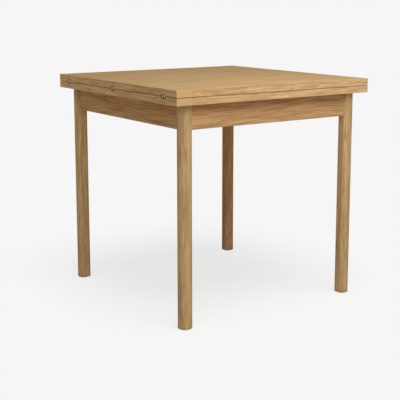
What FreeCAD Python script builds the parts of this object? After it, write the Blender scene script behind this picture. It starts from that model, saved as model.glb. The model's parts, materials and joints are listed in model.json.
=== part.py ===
"""Swivel extending table: a square dining table whose top is two leaves, one on the other.

The folded top turns a quarter on a swivel fitting under the lower leaf. Then the upper leaf folds
over on three link hinges and lies beside the lower one. Millimetres. X runs from the hinge side
(left) to the free side (right), Y from the front to the rear, Z up. The origin is on the floor
under the middle of the folded top.
"""
import FreeCAD, Part
import math
import os

Vector = FreeCAD.Vector
Rotation = FreeCAD.Rotation
UP = Vector(0, 0, 1)
DOWN = Vector(0, 0, -1)
ALONG_X = Vector(1, 0, 0)
ALONG_Y = Vector(0, 1, 0)

# ---------------------------------------------------------------- sizes: top
top_width = 780.0            # side of the square folded top
table_height = 760.0         # floor to the upper face of the folded top
leaf_thickness = 23.0
leaf_arris = 1.0             # planed off a leaf's outer edges at 45 degrees
seam_gap = 1.2               # between the folded leaves
open_joint_gap = 0.5         # between the leaves when they lie side by side
hinge_rail_width = 59.0      # solid strip that holds the hinges, along one side of each leaf
tongue_thickness = 7.0
tongue_depth = 10.0
tongue_setback = 20.0        # the tongue stops this far short of the leaf's ends
rest_dot_diameter = 10.0
rest_dot_inset = 28.0        # from the leaf's free corner to the middle of a dot, each way

# -------------------------------------------------------------- sizes: stand
leg_diameter = 46.0
leg_inset_x = 34.0           # edge of the top to the outside of a leg
leg_inset_y = 23.5
leg_foot_bevel = 2.0
leg_flat_margin = 0.3        # a leg's flat is this much wider than the apron, each side
apron_thickness = 22.0
apron_height = 78.0
apron_arris = 1.2
swivel_space = 2.0           # between the stand and the lower leaf
rail_margin = 7.0            # wood beside the base plate
rail_thickness = 25.0
rail_housing_depth = 6.0     # how far a rail's end is let into the apron
block_leg_gap = 4.5          # corner block to the round of the leg
block_depth = 30.0           # of a corner block, along the corner's diagonal
block_setback = 8.0          # lower edge of the apron to the block
block_rail_gap = 3.0         # block to the level of the rails' lower faces
block_nose = 4.0             # the block's thin ends are cut off this deep
hanger_diameter = 8.0
hanger_in_leg = 22.0
hanger_end = 3.0             # thread left past the nut
hanger_nut_wall = 2.5
hanger_nut_height = 6.5
foot_glide_diameter = 30.0
foot_glide_thickness = 2.0
felt_gap = 0.2               # felt pad to the underside of the lower leaf
leg_felt_width = 18.0
felt_strip_length = 60.0
felt_strip_width = 12.0
felt_strip_inset = 83.0      # axis of the leg to the middle of the nearest strip
rail_felt_spread = 200.0

# ----------------------------------------------------- sizes: swivel fitting
swivel_angle = 90.0          # degrees, from the folded place to the place for unfolding
plate_thickness = 2.5
screw_head_diameter = 8.4    # of the countersunk wood screws in both plates
slot_wall = 4.75             # steel between the stop slot and the base plate's edge
base_plate_length = 130.0
base_plate_corner = 8.0
plate_screw_inset = 12.0
top_plate_diameter = 124.0
top_plate_proud = 1.0        # how far the plate stands out of the lower leaf
top_screw_inset = 12.0       # edge of the top plate to the middle of a screw
stud_diameter = 12.0
stud_shoulder = 1.0          # step from the stud down to its thread
stud_end = 3.0               # thread left past the locknut
slide_disc_space = 4.0       # slide disc to the stop pin
bush_wall = 3.0
bush_flange_rim = 6.0
bush_flange_thickness = 2.0
pivot_washer_rim = 9.0
pivot_washer_thickness = 2.0
locknut_wall = 3.5
locknut_height = 8.0
locknut_collar_wall = 2.5
locknut_collar_height = 3.0
stop_radius = 39.0           # pivot to the middle of the stop pin
stop_pin_diameter = 8.0
stop_start_angle = -45.0     # of the stop pin with the top folded, from the X axis
stop_clearance = 0.25        # stop pin to its slot

# -------------------------------------------------------- sizes: link hinges
hinge_inset = 75.0           # end of the leaf to the middle of the outer hinges
pin_offset = 2.5             # fold axis to each hinge pin, along X and along Z
hinge_pin_diameter = 1.8
link_thickness = 4.0
link_pitch = 11.0            # middle of one plate to the middle of the other
cup_side_room = 4.3          # link plate to the wall of the cup's cavity
cup_wall = 1.2
cup_depth = 13.0
cup_corner = 6.0
link_clearance = 0.35        # moving link to the cup

# -------------------------------------------------------------- sizes: fits
press_gap = 0.05             # round a pin or bolt that is held fast
running_gap = 0.05           # round a shaft that turns
face_gap = 0.1               # between flat faces that slide
glue_gap = 0.1               # round a tongue or a rail's end
recess_gap = 0.3             # round a plate in its recess

# ------------------------------------------------------------ worked out: levels
seam_level = table_height - leaf_thickness - seam_gap / 2
lower_leaf_top = seam_level - seam_gap / 2
leaf_underside = lower_leaf_top - leaf_thickness
stand_top = leaf_underside - swivel_space
apron_bottom = stand_top - apron_height
rail_bottom = stand_top - rail_thickness
block_low = apron_bottom + block_setback
block_high = rail_bottom - block_rail_gap
block_middle = (block_low + block_high) / 2
top_plate_bottom = leaf_underside - top_plate_proud
top_plate_top = top_plate_bottom + plate_thickness
base_plate_bottom = stand_top - plate_thickness

# ------------------------------------------------------- worked out: places in plan
half_top = top_width / 2
leg_radius = leg_diameter / 2
leg_x = half_top - leg_inset_x - leg_radius
leg_y = half_top - leg_inset_y - leg_radius
half_apron = apron_thickness / 2
leg_flat = math.sqrt(leg_radius ** 2 - (half_apron + leg_flat_margin) ** 2)
pivot_x = -top_width / 4
pivot_y = top_width / 4
base_plate_width = 2 * (stop_radius + stop_pin_diameter / 2 + stop_clearance + slot_wall)
rail_width = base_plate_width + 2 * rail_margin
rail_end = leg_y - half_apron + rail_housing_depth
rail_split = -half_top + hinge_rail_width
fold_x = -half_top - open_joint_gap / 2
hinge_places = [-half_top + hinge_inset, 0.0, half_top - hinge_inset]
hinge_names = ["front", "middle", "rear"]
corner_names = ["front_left", "front_right", "rear_right", "rear_left"]

nodes = {}


# ------------------------------------------------------------------ tools
def keep(name, *shapes):
    """Keep one or more solids under a node's name."""
    nodes.setdefault(name, []).extend(shapes)


def block(x_range, y_range, z_range):
    """Return a box between two values on each axis."""
    corner = Vector(x_range[0], y_range[0], z_range[0])
    return Part.makeBox(
        x_range[1] - x_range[0], y_range[1] - y_range[0], z_range[1] - z_range[0], corner
    )


def disc(diameter, z_low, z_high, x=0.0, y=0.0):
    """Return an upright cylinder between two levels."""
    return Part.makeCylinder(diameter / 2, z_high - z_low, Vector(x, y, z_low))


def ring(outer_diameter, inner_diameter, z_low, z_high, x=0.0, y=0.0):
    """Return an upright tube between two levels."""
    return disc(outer_diameter, z_low, z_high, x, y).cut(disc(inner_diameter, z_low, z_high, x, y))


def hexagon(flats, z_low, z_high, x=0.0, y=0.0):
    """Return a hexagonal prism, given its width across flats."""
    corner_radius = flats / math.sqrt(3)
    angles = [math.radians(60 * turn) for turn in range(7)]
    points = [
        Vector(x + corner_radius * math.cos(a), y + corner_radius * math.sin(a), z_low)
        for a in angles
    ]
    return Part.Face(Part.makePolygon(points)).extrude(UP * (z_high - z_low))


def edges_along(shape, direction):
    """Return the straight edges that run along one direction."""
    return [
        edge
        for edge in shape.Edges
        if abs(edge.tangentAt(edge.FirstParameter).dot(direction)) > 0.999
    ]


def edges_at(shape, level):
    """Return the edges that lie flat at one level."""
    return [
        edge
        for edge in shape.Edges
        if abs(edge.BoundBox.ZMin - level) < 0.01 and abs(edge.BoundBox.ZMax - level) < 0.01
    ]


def at_corner(shape, name):
    """Return a shape drawn round the front left leg's axis, carried to a named corner."""
    moved = shape.copy()
    moved.rotate(Vector(0, 0, 0), UP, 90 * corner_names.index(name))
    x = leg_x if "right" in name else -leg_x
    y = leg_y if "rear" in name else -leg_y
    moved.translate(Vector(x, y, 0))
    return moved


# ------------------------------------------------------------------ corner joints
# Drawn round the axis of the front left leg, with the middle of the stand towards +X and +Y.
diagonal = Vector(1, 1, 0).normalize()
block_near = leg_radius + block_leg_gap
block_far = block_near + block_depth
near_reach = block_near * math.sqrt(2) - half_apron
far_reach = block_far * math.sqrt(2) - half_apron


def along_diagonal(shape, distance):
    """Return a shape drawn upright at the origin, laid along the corner's diagonal."""
    laid = shape.copy()
    laid.Placement = FreeCAD.Placement(
        diagonal * distance + UP * block_middle, Rotation(UP, diagonal)
    )
    return laid


def hanger_bolt(grow=0.0):
    """Return the bolt that pulls a leg into its corner, or with grow the hole for it."""
    start = leg_radius - hanger_in_leg
    length = block_far + hanger_nut_height + hanger_end - start
    return along_diagonal(disc(hanger_diameter + 2 * grow, 0, length), start)


def corner_block():
    """Return the block that joins two aprons and takes the leg's hanger bolt."""
    nose = far_reach - block_nose
    outline = [
        (near_reach, half_apron),
        (nose, half_apron),
        (nose, half_apron + block_nose),
        (half_apron + block_nose, nose),
        (half_apron, nose),
        (half_apron, near_reach),
        (near_reach, half_apron),
    ]
    face = Part.Face(Part.makePolygon([Vector(x, y, block_low) for x, y in outline]))
    return face.extrude(UP * (block_high - block_low)).cut(hanger_bolt(press_gap))


def leg():
    """Return a round leg with a flat along its length for each of its two aprons."""
    body = disc(leg_diameter, foot_glide_thickness, stand_top)
    body = body.makeChamfer(leg_foot_bevel, edges_at(body, foot_glide_thickness))
    beyond = (leg_flat, leg_diameter)
    across = (-leg_diameter, leg_diameter)
    full_height = (0, table_height)
    flats = [block(beyond, across, full_height), block(across, beyond, full_height)]
    return body.cut(flats + [hanger_bolt(press_gap)])


def make_corners():
    """Make the legs and all that joins them to the aprons."""
    nut = hexagon(hanger_diameter + 2 * hanger_nut_wall, 0, hanger_nut_height)
    nut = nut.cut(disc(hanger_diameter + 2 * press_gap, 0, hanger_nut_height))
    glide = disc(foot_glide_diameter, 0, foot_glide_thickness)
    for name in corner_names:
        keep("leg_" + name, at_corner(leg(), name))
        keep("foot_glides", at_corner(glide, name))
        keep("corner_block_" + name, at_corner(corner_block(), name))
        keep("hanger_bolts", at_corner(hanger_bolt(), name))
        keep("hanger_nuts", at_corner(along_diagonal(nut, block_far), name))


# ------------------------------------------------------------------ aprons and rails
def rail_blank(x, grow=0.0):
    """Return a cross rail's board, or with grow the room that its ends need in the aprons."""
    half_width = rail_width / 2 + grow
    half_length = rail_end + grow
    return block(
        (x - half_width, x + half_width),
        (-half_length, half_length),
        (rail_bottom - grow, stand_top + grow),
    )


def make_aprons():
    """Make the four aprons, whose ends stand on the flats of the legs."""
    reach_x = leg_x - leg_flat
    reach_y = leg_y - leg_flat
    z_range = (apron_bottom, stand_top)
    rail_room = [rail_blank(x, glue_gap) for x in (pivot_x, -pivot_x)]
    for name, y in (("apron_front", -leg_y), ("apron_rear", leg_y)):
        board = block((-reach_x, reach_x), (y - half_apron, y + half_apron), z_range)
        keep(name, board.makeChamfer(apron_arris, edges_along(board, ALONG_X)).cut(rail_room))
    for name, x in (("apron_left", -leg_x), ("apron_right", leg_x)):
        board = block((x - half_apron, x + half_apron), (-reach_y, reach_y), z_range)
        keep(name, board.makeChamfer(apron_arris, edges_along(board, ALONG_Y)))


def make_rails():
    """Make the pivot rail, which carries the swivel fitting, and the support rail beside it."""
    recess = base_plate_blank(recess_gap, top=stand_top + 1)
    bore = disc(bush_outer_diameter + 2 * press_gap, rail_bottom, stand_top, pivot_x, pivot_y)
    keep("pivot_rail", rail_blank(pivot_x).cut([recess, bore]))
    keep("support_rail", rail_blank(-pivot_x))


def felt_strip(x, y, direction):
    """Return a felt strip that lies on the stand, its length along X or Y."""
    half_length = felt_strip_length / 2
    half_width = felt_strip_width / 2
    half_x, half_y = (half_length, half_width)
    if direction == ALONG_Y:
        half_x, half_y = (half_width, half_length)
    return block(
        (x - half_x, x + half_x), (y - half_y, y + half_y), (stand_top, leaf_underside - felt_gap)
    )


def make_felt():
    """Make the felt that the top slides on: pads on the legs, strips on aprons and rails."""
    across = (-leg_felt_width / 2, leg_felt_width / 2)
    pad = block(across, across, (stand_top, leaf_underside - felt_gap))
    keep("leg_felt_pads", *[at_corner(pad, name) for name in corner_names])
    spread = leg_x - felt_strip_inset
    for y in (-leg_y, leg_y):
        keep("apron_felt_strips", *[felt_strip(x, y, ALONG_X) for x in (-spread, 0, spread)])
    spread = leg_y - felt_strip_inset
    for x in (-leg_x, leg_x):
        keep("apron_felt_strips", *[felt_strip(x, y, ALONG_Y) for y in (-spread, 0, spread)])
    keep("rail_felt_strips", felt_strip(pivot_x, -rail_felt_spread, ALONG_Y))
    keep("rail_felt_strips", felt_strip(-pivot_x, -rail_felt_spread, ALONG_Y))
    keep("rail_felt_strips", felt_strip(-pivot_x, rail_felt_spread, ALONG_Y))


# ------------------------------------------------------------------ swivel fitting
bush_bore = stud_diameter + 2 * running_gap
bush_outer_diameter = bush_bore + 2 * bush_wall
thread_diameter = stud_diameter - 2 * stud_shoulder
bush_bottom = rail_bottom - bush_flange_thickness
shoulder_bottom = bush_bottom - face_gap
washer_bottom = shoulder_bottom - pivot_washer_thickness
locknut_bottom = washer_bottom - locknut_height - locknut_collar_height


def base_plate_blank(grow=0.0, top=stand_top):
    """Return the outline of the base plate, or with grow and a top level its recess."""
    half_width = base_plate_width / 2 + grow
    half_length = base_plate_length / 2 + grow
    blank = block(
        (pivot_x - half_width, pivot_x + half_width),
        (pivot_y - half_length, pivot_y + half_length),
        (base_plate_bottom, top),
    )
    return blank.makeFillet(base_plate_corner + grow, edges_along(blank, UP))


def base_screw_seats():
    """Return the countersunk holes of the base plate's four screws, wide at the top."""
    shift_x = base_plate_width / 2 - plate_screw_inset
    shift_y = base_plate_length / 2 - plate_screw_inset
    wide = screw_head_diameter / 2
    return [
        Part.makeCone(wide - plate_thickness, wide, plate_thickness,
                      Vector(pivot_x + x, pivot_y + y, base_plate_bottom))
        for x in (-shift_x, shift_x)
        for y in (-shift_y, shift_y)
    ]


def top_screw_seats():
    """Return the countersunk holes of the top plate's four screws, wide at the bottom."""
    radius = top_plate_diameter / 2 - top_screw_inset
    wide = screw_head_diameter / 2
    return [
        Part.makeCone(wide, wide - plate_thickness, plate_thickness,
                      Vector(pivot_x + x, pivot_y + y, top_plate_bottom))
        for x, y in ((radius, 0), (0, radius), (-radius, 0), (0, -radius))
    ]


def stop_place(turned=0.0):
    """Return where the stop pin stands when the top has turned by some degrees."""
    angle = math.radians(stop_start_angle + turned)
    return pivot_x + stop_radius * math.cos(angle), pivot_y + stop_radius * math.sin(angle)


def stop_slot():
    """Return the arc that the stop pin runs in, with its two round ends."""
    width = stop_pin_diameter + 2 * stop_clearance
    middle = Vector(pivot_x, pivot_y, base_plate_bottom)
    outer = Part.makeCylinder(
        stop_radius + width / 2, plate_thickness, middle, UP, swivel_angle
    )
    arc = outer.cut(Part.makeCylinder(stop_radius - width / 2, plate_thickness, middle, UP))
    arc.rotate(middle, UP, stop_start_angle)
    ends = [
        disc(width, base_plate_bottom, stand_top, *stop_place(turned))
        for turned in (0.0, swivel_angle)
    ]
    return arc.fuse(ends).removeSplitter()


def make_swivel_base():
    """Make the half of the swivel fitting that stays on the stand."""
    opening = disc(bush_bore, base_plate_bottom, stand_top, pivot_x, pivot_y)
    plate = base_plate_blank().cut([opening, stop_slot()] + base_screw_seats())
    keep("swivel_base_plate", plate)
    disc_diameter = 2 * (stop_radius - slide_disc_space) - stop_pin_diameter
    keep("swivel_slide_disc", ring(
        disc_diameter, bush_bore, stand_top, top_plate_bottom - face_gap, pivot_x, pivot_y
    ))
    flange_diameter = bush_outer_diameter + 2 * bush_flange_rim
    tube = ring(bush_outer_diameter, bush_bore, rail_bottom, base_plate_bottom, pivot_x, pivot_y)
    flange = ring(flange_diameter, bush_bore, bush_bottom, rail_bottom, pivot_x, pivot_y)
    keep("pivot_bush", tube.fuse(flange).removeSplitter())


def make_swivel_top():
    """Make the half of the swivel fitting that turns with the lower leaf.

    The stud and the stop pin are welded to the plate's lower face.
    """
    plate = disc(top_plate_diameter, top_plate_bottom, top_plate_top, pivot_x, pivot_y)
    keep("swivel_top_plate", plate.cut(top_screw_seats()))
    keep("stop_pin", disc(stop_pin_diameter, base_plate_bottom + face_gap, top_plate_bottom,
                          *stop_place()))
    shoulder = disc(stud_diameter, shoulder_bottom, top_plate_bottom, pivot_x, pivot_y)
    thread = disc(thread_diameter, locknut_bottom - stud_end, shoulder_bottom, pivot_x, pivot_y)
    keep("pivot_stud", shoulder.fuse(thread).removeSplitter())
    nut_hole = thread_diameter + 2 * press_gap
    washer_diameter = thread_diameter + 2 * pivot_washer_rim
    keep("pivot_washer", ring(washer_diameter, nut_hole, washer_bottom, shoulder_bottom,
                              pivot_x, pivot_y))
    body = hexagon(thread_diameter + 2 * locknut_wall, washer_bottom - locknut_height,
                   washer_bottom, pivot_x, pivot_y)
    collar = disc(thread_diameter + 2 * locknut_collar_wall, locknut_bottom,
                  washer_bottom - locknut_height, pivot_x, pivot_y)
    bore = disc(nut_hole, locknut_bottom, washer_bottom, pivot_x, pivot_y)
    keep("pivot_locknut", body.fuse(collar).cut(bore))


# ------------------------------------------------------------------ link hinges
# Drawn round the fold axis, which is the Y axis here: the leaves lie towards +X, the upper one
# above Z = 0 and the lower one below. Each pin stands pin_offset inside its leaf, both ways, so
# a plate that turns about the lower pin by half of the leaf's turn always points at the upper
# pin. Only their distance changes, from 2 to 2.83 times the offset, and a slot takes that up.
edge_x = open_joint_gap / 2
link_radius = pin_offset - seam_gap / 2
pins_near = 2 * pin_offset
pins_far = 2 * math.sqrt(2) * pin_offset
link_tip = pins_far - pin_offset + link_radius
upper_cavity = link_tip + link_clearance
lower_cavity = pin_offset + link_radius + link_clearance
cup_height = upper_cavity + cup_wall
half_cavity = (link_pitch + link_thickness) / 2 + cup_side_room
half_cup = half_cavity + cup_wall
hinge_pin_half_length = half_cavity + 0.75 * cup_wall


def arch_prism(half_width, height, corner, x_range):
    """Return a prism along X whose section is flat below, at Z = 0, with rounded upper corners."""
    start = x_range[0]
    bend = corner * (1 - math.sqrt(0.5))
    left = [
        Vector(start, -half_width, height - corner),
        Vector(start, -half_width + bend, height - bend),
        Vector(start, -half_width + corner, height),
    ]
    right = [
        Vector(start, half_width - corner, height),
        Vector(start, half_width - bend, height - bend),
        Vector(start, half_width, height - corner),
    ]
    foot_left = Vector(start, -half_width, 0)
    foot_right = Vector(start, half_width, 0)
    edges = [
        Part.LineSegment(foot_left, left[0]),
        Part.Arc(*left),
        Part.LineSegment(left[2], right[0]),
        Part.Arc(*right),
        Part.LineSegment(right[2], foot_right),
        Part.LineSegment(foot_right, foot_left),
    ]
    face = Part.Face(Part.Wire([edge.toShape() for edge in edges]))
    return face.extrude(ALONG_X * (x_range[1] - start))


def cup_blank(grow=0.0):
    """Return the outside of an upper cup, or with grow its mortise in the leaf."""
    x_range = (edge_x - grow, edge_x + cup_depth)
    body = arch_prism(half_cup + grow, cup_height + grow, cup_corner + grow, x_range)
    if grow:
        return body
    seam = block((0, 2 * cup_depth), (-2 * half_cup, 2 * half_cup), (0, seam_gap / 2))
    return body.cut(seam)


def hinge_pin(grow=0.0):
    """Return the pin of an upper cup, or with grow its hole."""
    half = hinge_pin_half_length + grow
    return Part.makeCylinder(
        hinge_pin_diameter / 2 + grow, 2 * half, Vector(pin_offset, -half, pin_offset), ALONG_Y
    )


def cup(cavity):
    """Return an upper cup, open towards the edge and the face of its leaf."""
    room = arch_prism(half_cavity, cavity, cup_corner - cup_wall, (0, cavity))
    return cup_blank().cut([room, hinge_pin(press_gap)])


def obround(radius, z_low, z_high, y_range):
    """Return an upright plate with round ends, on the line of the lower pin."""
    start = y_range[0]
    low_left = Vector(pin_offset - radius, start, z_low)
    low_right = Vector(pin_offset + radius, start, z_low)
    high_left = Vector(pin_offset - radius, start, z_high)
    high_right = Vector(pin_offset + radius, start, z_high)
    edges = [
        Part.LineSegment(low_left, high_left),
        Part.Arc(high_left, Vector(pin_offset, start, z_high + radius), high_right),
        Part.LineSegment(high_right, low_right),
        Part.Arc(low_right, Vector(pin_offset, start, z_low - radius), low_left),
    ]
    face = Part.Face(Part.Wire([edge.toShape() for edge in edges]))
    return face.extrude(ALONG_Y * (y_range[1] - start))


def link_plate(middle):
    """Return a link plate: a hole for the lower pin and a slot for the upper one."""
    y_range = (middle - link_thickness / 2, middle + link_thickness / 2)
    plate = obround(link_radius, -pin_offset, pins_far - pin_offset, y_range)
    hole_radius = hinge_pin_diameter / 2 + running_gap
    pin_place = Vector(pin_offset, y_range[0], -pin_offset)
    pin_hole = Part.makeCylinder(hole_radius, link_thickness, pin_place, ALONG_Y)
    slot = obround(hole_radius, pins_near - pin_offset, pins_far - pin_offset, y_range)
    return plate.cut([pin_hole, slot])


def below(shape):
    """Return the lower leaf's copy of a shape drawn in the upper leaf."""
    return shape.mirror(Vector(0, 0, 0), UP)


def at_hinge(shape, y):
    """Return a shape drawn round the fold axis, carried to one hinge."""
    moved = shape.copy()
    moved.translate(Vector(fold_x, y, seam_level))
    return moved


def make_hinges():
    """Make the three link hinges."""
    for name, y in zip(hinge_names, hinge_places):
        keep("upper_hinge_cup_" + name, at_hinge(cup(upper_cavity), y))
        keep("lower_hinge_cup_" + name, at_hinge(below(cup(lower_cavity)), y))
        keep("upper_hinge_pin_" + name, at_hinge(hinge_pin(), y))
        keep("lower_hinge_pin_" + name, at_hinge(below(hinge_pin()), y))
        for middle in (-link_pitch / 2, link_pitch / 2):
            keep("hinge_links_" + name, at_hinge(link_plate(middle), y))


# ------------------------------------------------------------------ leaves
def split_leaf(z_low):
    """Return a leaf's panel and its hinge rail, which a stopped tongue joins.

    Args:
        z_low: level of the leaf's lower face.
    """
    side = (-half_top, half_top)
    leaf = block(side, side, (z_low, z_low + leaf_thickness))
    leaf = leaf.makeChamfer(leaf_arris, leaf.Edges)
    rail_room = block(
        (-top_width, rail_split), (-top_width, top_width), (z_low - 1, z_low + leaf_thickness + 1)
    )
    middle = z_low + leaf_thickness / 2
    half_tongue = tongue_thickness / 2
    reach = half_top - tongue_setback
    tongue = block(
        (rail_split - tongue_depth, rail_split),
        (-reach, reach),
        (middle - half_tongue, middle + half_tongue),
    )
    groove = block(
        (rail_split - tongue_depth - glue_gap, rail_split),
        (-reach - glue_gap, reach + glue_gap),
        (middle - half_tongue - glue_gap, middle + half_tongue + glue_gap),
    )
    panel = leaf.cut(rail_room).fuse(tongue).removeSplitter()
    return panel, leaf.common(rail_room).cut(groove)


def make_leaves():
    """Make both leaves, with the mortises for the hinges and the swivel plate's recess."""
    panel, rail = split_leaf(table_height - leaf_thickness)
    mortises = [at_hinge(cup_blank(glue_gap), y) for y in hinge_places]
    keep("upper_leaf_panel", panel)
    keep("upper_leaf_hinge_rail", rail.cut(mortises))

    panel, rail = split_leaf(leaf_underside)
    mortises = [at_hinge(below(cup_blank(glue_gap)), y) for y in hinge_places]
    recess = disc(top_plate_diameter + 2 * recess_gap, leaf_underside - 1, top_plate_top,
                  pivot_x, pivot_y)
    keep("lower_leaf_panel", panel.cut(recess))
    keep("lower_leaf_hinge_rail", rail.cut(mortises))

    dot_reach = half_top - rest_dot_inset
    for y in (-dot_reach, dot_reach):
        keep("leaf_rest_dots", disc(
            rest_dot_diameter, lower_leaf_top, lower_leaf_top + seam_gap - face_gap, dot_reach, y
        ))


# ------------------------------------------------------------------ build
def write_parts():
    """Write one file for each node."""
    os.makedirs("parts", exist_ok=True)
    for name, solids in nodes.items():
        shape = solids[0] if len(solids) == 1 else Part.makeCompound(solids)
        shape.exportStep("parts/" + name + ".step")


make_corners()
make_aprons()
make_rails()
make_felt()
make_swivel_base()
make_swivel_top()
make_leaves()
make_hinges()
write_parts()
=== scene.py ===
"""Looks of the swivel extending table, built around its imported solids.

Metres. X runs from the hinge side to the free side, Y from the front to the rear, Z up, and the
origin is on the floor under the middle of the folded top. Every piece stands where the frame's
solid of the same name stands.
"""
import json
import logging
import math
from dataclasses import dataclass
from enum import Enum
from typing import Callable, Sequence

import bmesh
import bpy
from mathutils import Matrix, Vector, noise

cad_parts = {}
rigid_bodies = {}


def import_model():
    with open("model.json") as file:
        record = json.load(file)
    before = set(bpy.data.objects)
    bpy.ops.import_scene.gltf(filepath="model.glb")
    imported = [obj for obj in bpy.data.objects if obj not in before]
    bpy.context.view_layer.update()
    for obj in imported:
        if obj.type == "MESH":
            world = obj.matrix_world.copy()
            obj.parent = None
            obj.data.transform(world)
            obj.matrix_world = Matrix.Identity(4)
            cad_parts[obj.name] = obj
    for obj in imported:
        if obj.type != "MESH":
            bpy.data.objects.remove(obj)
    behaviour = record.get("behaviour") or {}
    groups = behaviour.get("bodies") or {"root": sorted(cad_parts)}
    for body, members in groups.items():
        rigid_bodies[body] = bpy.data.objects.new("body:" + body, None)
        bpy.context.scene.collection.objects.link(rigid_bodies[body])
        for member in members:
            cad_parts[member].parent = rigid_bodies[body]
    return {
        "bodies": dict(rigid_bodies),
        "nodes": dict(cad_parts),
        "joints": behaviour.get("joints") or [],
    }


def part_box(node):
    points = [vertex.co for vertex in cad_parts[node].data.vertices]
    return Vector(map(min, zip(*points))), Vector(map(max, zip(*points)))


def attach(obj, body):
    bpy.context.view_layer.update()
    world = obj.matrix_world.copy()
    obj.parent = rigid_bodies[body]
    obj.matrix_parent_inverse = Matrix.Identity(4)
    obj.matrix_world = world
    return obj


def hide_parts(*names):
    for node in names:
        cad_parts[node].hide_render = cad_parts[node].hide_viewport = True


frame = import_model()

LOG = logging.getLogger("table")
MM = 0.001
UP = Vector((0, 0, 1))
CORNERS = ("front_left", "front_right", "rear_right", "rear_left")
HINGES = ("front", "middle", "rear")
LONG_APRONS = ("apron_front", "apron_rear")
APRONS = LONG_APRONS + ("apron_left", "apron_right")
CROSS_RAILS = ("pivot_rail", "support_rail")
LEAF_BODIES = {"upper": "folding_leaf", "lower": "swivel_top"}

Colour = tuple[float, float, float, float]
Point = tuple[float, float]
Span = tuple[float, float]
Socket = bpy.types.NodeSocket
Shape = bmesh.types.BMesh

# How many times a metre each layer of a wood's look changes: along the fibres, across the growth
# rings and beside them.
WANDER = (1.1, 3.2, 3.2)
WAVES = (9, 14, 14)
UNEVEN_RINGS = (0.8, 22, 9)
THREADS = (18, 600, 500)
PATCHES = (8, 45, 34)
PORES = (110, 2400, 2400)
FLECKS = (70, 380, 380)
# The layers that make a wood's figure: their scale, their weight and their detail.
FIGURE = (((3.0, 20, 14), 0.15, 2), ((5.0, 60, 45), 0.25, 2), ((8.0, 210, 170), 1.0, 3),
          (THREADS, 0.6, 3))
RING_WEIGHT = 0.35
# How many times a metre the other finishes and the marks of wear change.
STAINS = 260
TOOL_MARKS = 900
MOTTLING = 140
MOULDED_SKIN = 2600
HAIRS = 1500
CLUMPS = 260
WORN_EDGES = 35
SCUFFS = 90
FELT_FUZZ = 900
REDDER = (1.04, 0.95, 0.87, 1.0)
# Near black: painted shade deep in a hinge cup's cavity.
CAVITY_SHADE = (12, 10, 8)
BASE_PLATE_CORNER = 8.0 * MM
LEG_SIDES = 144
SCREW_SIDES = 28


# ------------------------------------------------------------------ the frame's places
def remove_strays() -> None:
    """Remove what a new file holds besides the frame."""
    known = set(frame["nodes"].values()) | set(frame["bodies"].values())
    for thing in [found for found in bpy.data.objects if found not in known]:
        bpy.data.objects.remove(thing)


def joint_place(name: str) -> Vector:
    """Return a point on a joint's axis."""
    return Vector(next(joint["pos_m"] for joint in frame["joints"] if joint["name"] == name))


def leaf_box(side: str) -> tuple[Vector, Vector]:
    """Return the lowest and highest corners of the upper or lower leaf."""
    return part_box(side + "_leaf_hinge_rail")[0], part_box(side + "_leaf_panel")[1]


def tone(red: int, green: int, blue: int) -> Colour:
    """Return a colour written as a screen shows it, 0 to 255, as linear light."""
    shares = [value / 255 for value in (red, green, blue)]
    return (*[share / 12.92 if share <= 0.04045 else ((share + 0.055) / 1.055) ** 2.4
              for share in shares], 1.0)


# ------------------------------------------------------------------ recipes for finishes
class Grain(Enum):
    """The way that a piece's fibres run."""

    ALONG_X = "x"
    ALONG_Y = "y"
    ALONG_Z = "z"
    SHOWN_FACES = "along x, and along y on the sides that face x"
    VENEERED_RAIL = "along y, under a veneer along x"


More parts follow.
